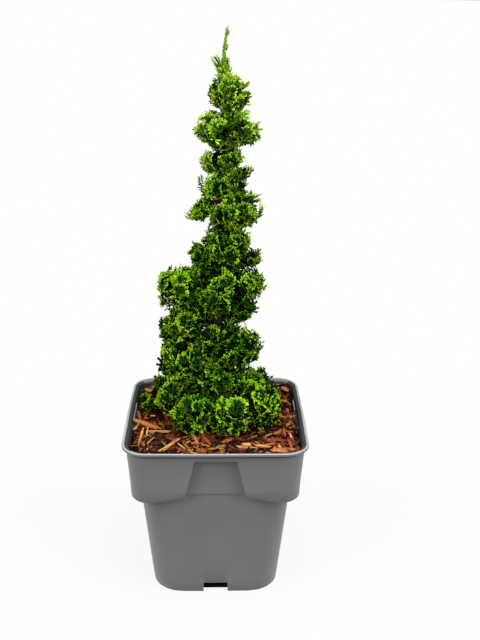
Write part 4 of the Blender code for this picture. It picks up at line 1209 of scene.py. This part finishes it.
def mulch_shreds():
    heap = Heap()
    rng = random.Random(SEED + 5)
    for pitch, shortest, longest, lift in SHRED_LAYERS:
        cells = int(2 * INNER_HALF / pitch)
        for i in range(cells):
            for j in range(cells):
                x = -INNER_HALF + (i + rng.random()) * pitch
                y = -INNER_HALF + (j + rng.random()) * pitch
                length = mix(shortest, longest, rng.random() ** 2)
                width = min(length * rng.uniform(*SHRED_WIDTHS), WIDEST_SHRED)
                turn = rng.uniform(0, math.pi)
                reach = Vector((math.cos(turn), math.sin(turn))) * length * 0.5
                if not (in_pot(x + reach.x, y + reach.y) and in_pot(x - reach.x, y - reach.y)):
                    continue
                if math.hypot(x - TRUNK_PATH[0].x, y - TRUNK_PATH[0].y) < CLEAR_OF_TRUNK:
                    continue
                height = mulch_height(x, y) + lift + rng.uniform(0, SHRED_LOOSE) * MM
                tint = rng.choices(range(len(BARK_TINTS)), TINT_SHARES)[0]
                put_chip(heap, (x, y, height), (length, width, rng.uniform(*SHRED_THICKNESS) * MM), turn,
                         rng.gauss(0, SHRED_TILT), rng.gauss(0, SHRED_ROLL), tint, rng)
    for x, y, to_x, to_y, width, lift, tint in LARGE_CHIPS:
        start, end = Vector((x, y)) * MM, Vector((to_x, to_y)) * MM
        middle, along = (start + end) / 2, end - start
        centre = middle.x, middle.y, mulch_height(*middle) + lift * MM
        across = Vector((-along.y, along.x, 0)).normalized() * width * MM / len(STREAKS)
        for k, (darker, share) in enumerate(STREAKS):
            place = Vector(centre) + across * (k - 1) + Vector((0, 0, rng.uniform(0, 0.25) * MM))
            put_chip(heap, place, (along.length * share, 1.2 * across.length, 0.7 * MM),
                     math.atan2(along.y, along.x) + rng.gauss(0, 0.03), rng.gauss(0, 0.03),
                     rng.gauss(0, 0.3), max(1, tint - darker) if tint < 9 else tint, rng)
    return heap.mesh("mulch_shreds")


# ---------------------------------------------------------------- stage

CAMERA_PLACE = (0, -0.5132, 0.3562)
PITCH_DOWN, YAW_RIGHT, ROLL = 0.349, 0.029, math.radians(0.62)
# Soft boxes: (name, the direction towards it, strength).
BOXES = [
    ("left_box", (-1.0, -0.6, 0.9), 2.5),
    ("right_box", (1.0, -0.55, 0.9), 2.3),
    ("top_box", (0.1, -0.1, 1.0), 2.5),
]
BOX_SPREAD = math.radians(40)
ROOM_LIGHT, TABLE_GLOW = 0.28, 0.9


def camera():
    data = bpy.data.cameras.new("camera")
    data.lens = 50.0
    data.sensor_width = 36.0
    data.clip_start = 0.02
    obj = linked("camera", data)
    obj.matrix_world = (Matrix.Translation(CAMERA_PLACE) @ Matrix.Rotation(-YAW_RIGHT, 4, "Z")
                        @ Matrix.Rotation(math.pi / 2 - PITCH_DOWN, 4, "X")
                        @ Matrix.Rotation(ROLL, 4, "Z"))
    bpy.context.scene.camera = obj


def stage_card(name, size, height, made, rounding=0.0):
    """A card that shows white or black but sends no light up to the plant."""
    bm = bmesh.new()
    bmesh.ops.create_grid(bm, x_segments=1, y_segments=1, size=size)
    if rounding:
        bmesh.ops.bevel(bm, geom=bm.verts, offset=rounding, segments=8, profile=0.5, affect="VERTICES")
    bmesh.ops.translate(bm, verts=bm.verts, vec=(0, 0, height))
    card = linked(name, mesh_of(bm, name))
    card.data.materials.append(made)
    card.visible_diffuse = False


def lit_acrylic():
    """A table of opal acrylic, lit from below: white wherever it is seen, and it reflects little."""
    return principled("lit_white_acrylic", Base_Color=(0.05, 0.05, 0.05, 1), Roughness=1.0,
                      Specular_IOR_Level=0.0, Emission_Color=(1, 1, 1, 1),
                      Emission_Strength=TABLE_GLOW)[0]


def painted_shade_card():
    """A near-black card in the hollow under the pot: painted shade that sends almost no light back."""
    return plain("painted_shade_card", "#040404", Roughness=1.0)


def studio():
    """A lit white table under soft boxes at both sides and above."""
    world = bpy.data.worlds.new("studio")
    world.use_nodes = True
    sky = world.node_tree.nodes["Background"].inputs
    sky["Color"].default_value = (1, 1, 1, 1)
    sky["Strength"].default_value = ROOM_LIGHT
    bpy.context.scene.world = world
    bpy.context.scene.view_settings.view_transform = "Standard"
    stage_card("floor", 300.0, 0.0, lit_acrylic())
    # The near-black card stands in for the shade inside the pot's foot: painted shade.
    stage_card("shade_under_pot", FOOT_HOLLOW, 0.1 * MM, painted_shade_card(), FOOT_CORNER)
    for name, towards, strength in BOXES:
        data = bpy.data.lights.new(name, "SUN")
        data.energy = strength
        data.angle = BOX_SPREAD
        linked(name, data).matrix_world = Vector(towards).to_track_quat("Z", "Y").to_matrix().to_4x4()


# ---------------------------------------------------------------- assembly

# Shoots on the trunk belong to the foliage round them: (tier, from this height).
SHOOT_TIERS = [("third_low", 0), ("fourth", 200 * MM), ("fifth", 240 * MM), ("crest", 280 * MM)]


def planter():
    """The pot and what lies in it."""
    finishes = [moulded_polypropylene(), painted_shade_polypropylene(), lip_painted_highlight()]
    pot = piece("pot_shell", pot_shell(), finishes)
    # The clips' pale finish is a painted highlight.
    piece("label_clips", label_clips(), [clip_painted_highlight()], smooth=False)
    pot.data.set_sharp_from_angle(angle=math.radians(50))
    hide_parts("pot")
    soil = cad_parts["soil"]
    soil.data.materials.clear()
    soil.data.materials.append(potting_soil())

    barks = shredded_bark()
    bed = piece("mulch_bed", mulch_bed(), [barks[0]], smooth=False)
    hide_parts("bark_mulch")
    piece("mulch_shreds", mulch_shreds(), barks, smooth=False)


def wood():
    """The trunk and the boughs: (the limbs that foliage keeps clear of, each plume's stem start)."""
    part_spaces(CROWN)
    limbs = [Limb(a, b, trunk_radius(a.z), trunk_radius(b.z)) for a, b in zip(TRUNK_PATH, TRUNK_PATH[1:])]
    boughs, bough_names, starts = [], [], {}
    for plume in CROWN:
        name = plume.name
        ends = bough_ends(plume)
        starts[name] = ends[1] if ends else limb_start(plume, STEM_RADIUS)
        if ends:
            boughs.append(ends)
            bough_names.append("bough_" + name)
            limbs.append(Limb(*ends, BOUGH_FOOT_RADIUS, BOUGH_TIP_RADIUS, name))
        limbs.append(Limb(starts[name], plume.centre, STEM_RADIUS, STEM_RADIUS, name, stem=True))
    made = piece("trunk_and_boughs", trunk_and_boughs(boughs), [thin_bark(), green_stem()])
    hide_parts("trunk", *bough_names)
    return limbs, starts


def foliage(limbs, starts):
    """The sprays and twigs. The order of the random draws is the order of the plumes."""
    rng = random.Random(SEED)
    plans = [spray_plan(rng) for _ in range(SPRAY_PLANS)]
    tints = leaf_tints()
    twigs = Heap()
    heaps = {tier: Heap() for tier in TIERS}
    for tier, members in TIERS.items():
        for plume in members:
            keep_off(plume, limbs)
            start = starts[plume.name]
            put_twig(twigs, start, plume.centre, STEM_RADIUS)
            heart(heaps[tier], plume)
            sprays_of(plume, limbs, heaps[tier], twigs, start, plans, rng)
    trunk_shoots([(heaps[tier], low) for tier, low in SHOOT_TIERS], plans, rng)
    leader_sprays(heaps["crest"], plans, rng)
    for tier, members in TIERS.items():
        name = f"sprays_{tier}"
        leaves = piece(name, heaps[tier].mesh(name), tints, smooth=False)
        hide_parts(*[plume.name for plume in members])
        if tier == "crest":
            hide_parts("leader")
    piece("twigs", twigs.mesh("twigs"), [young_twig()])


camera()
studio()
planter()
foliage(*wood())
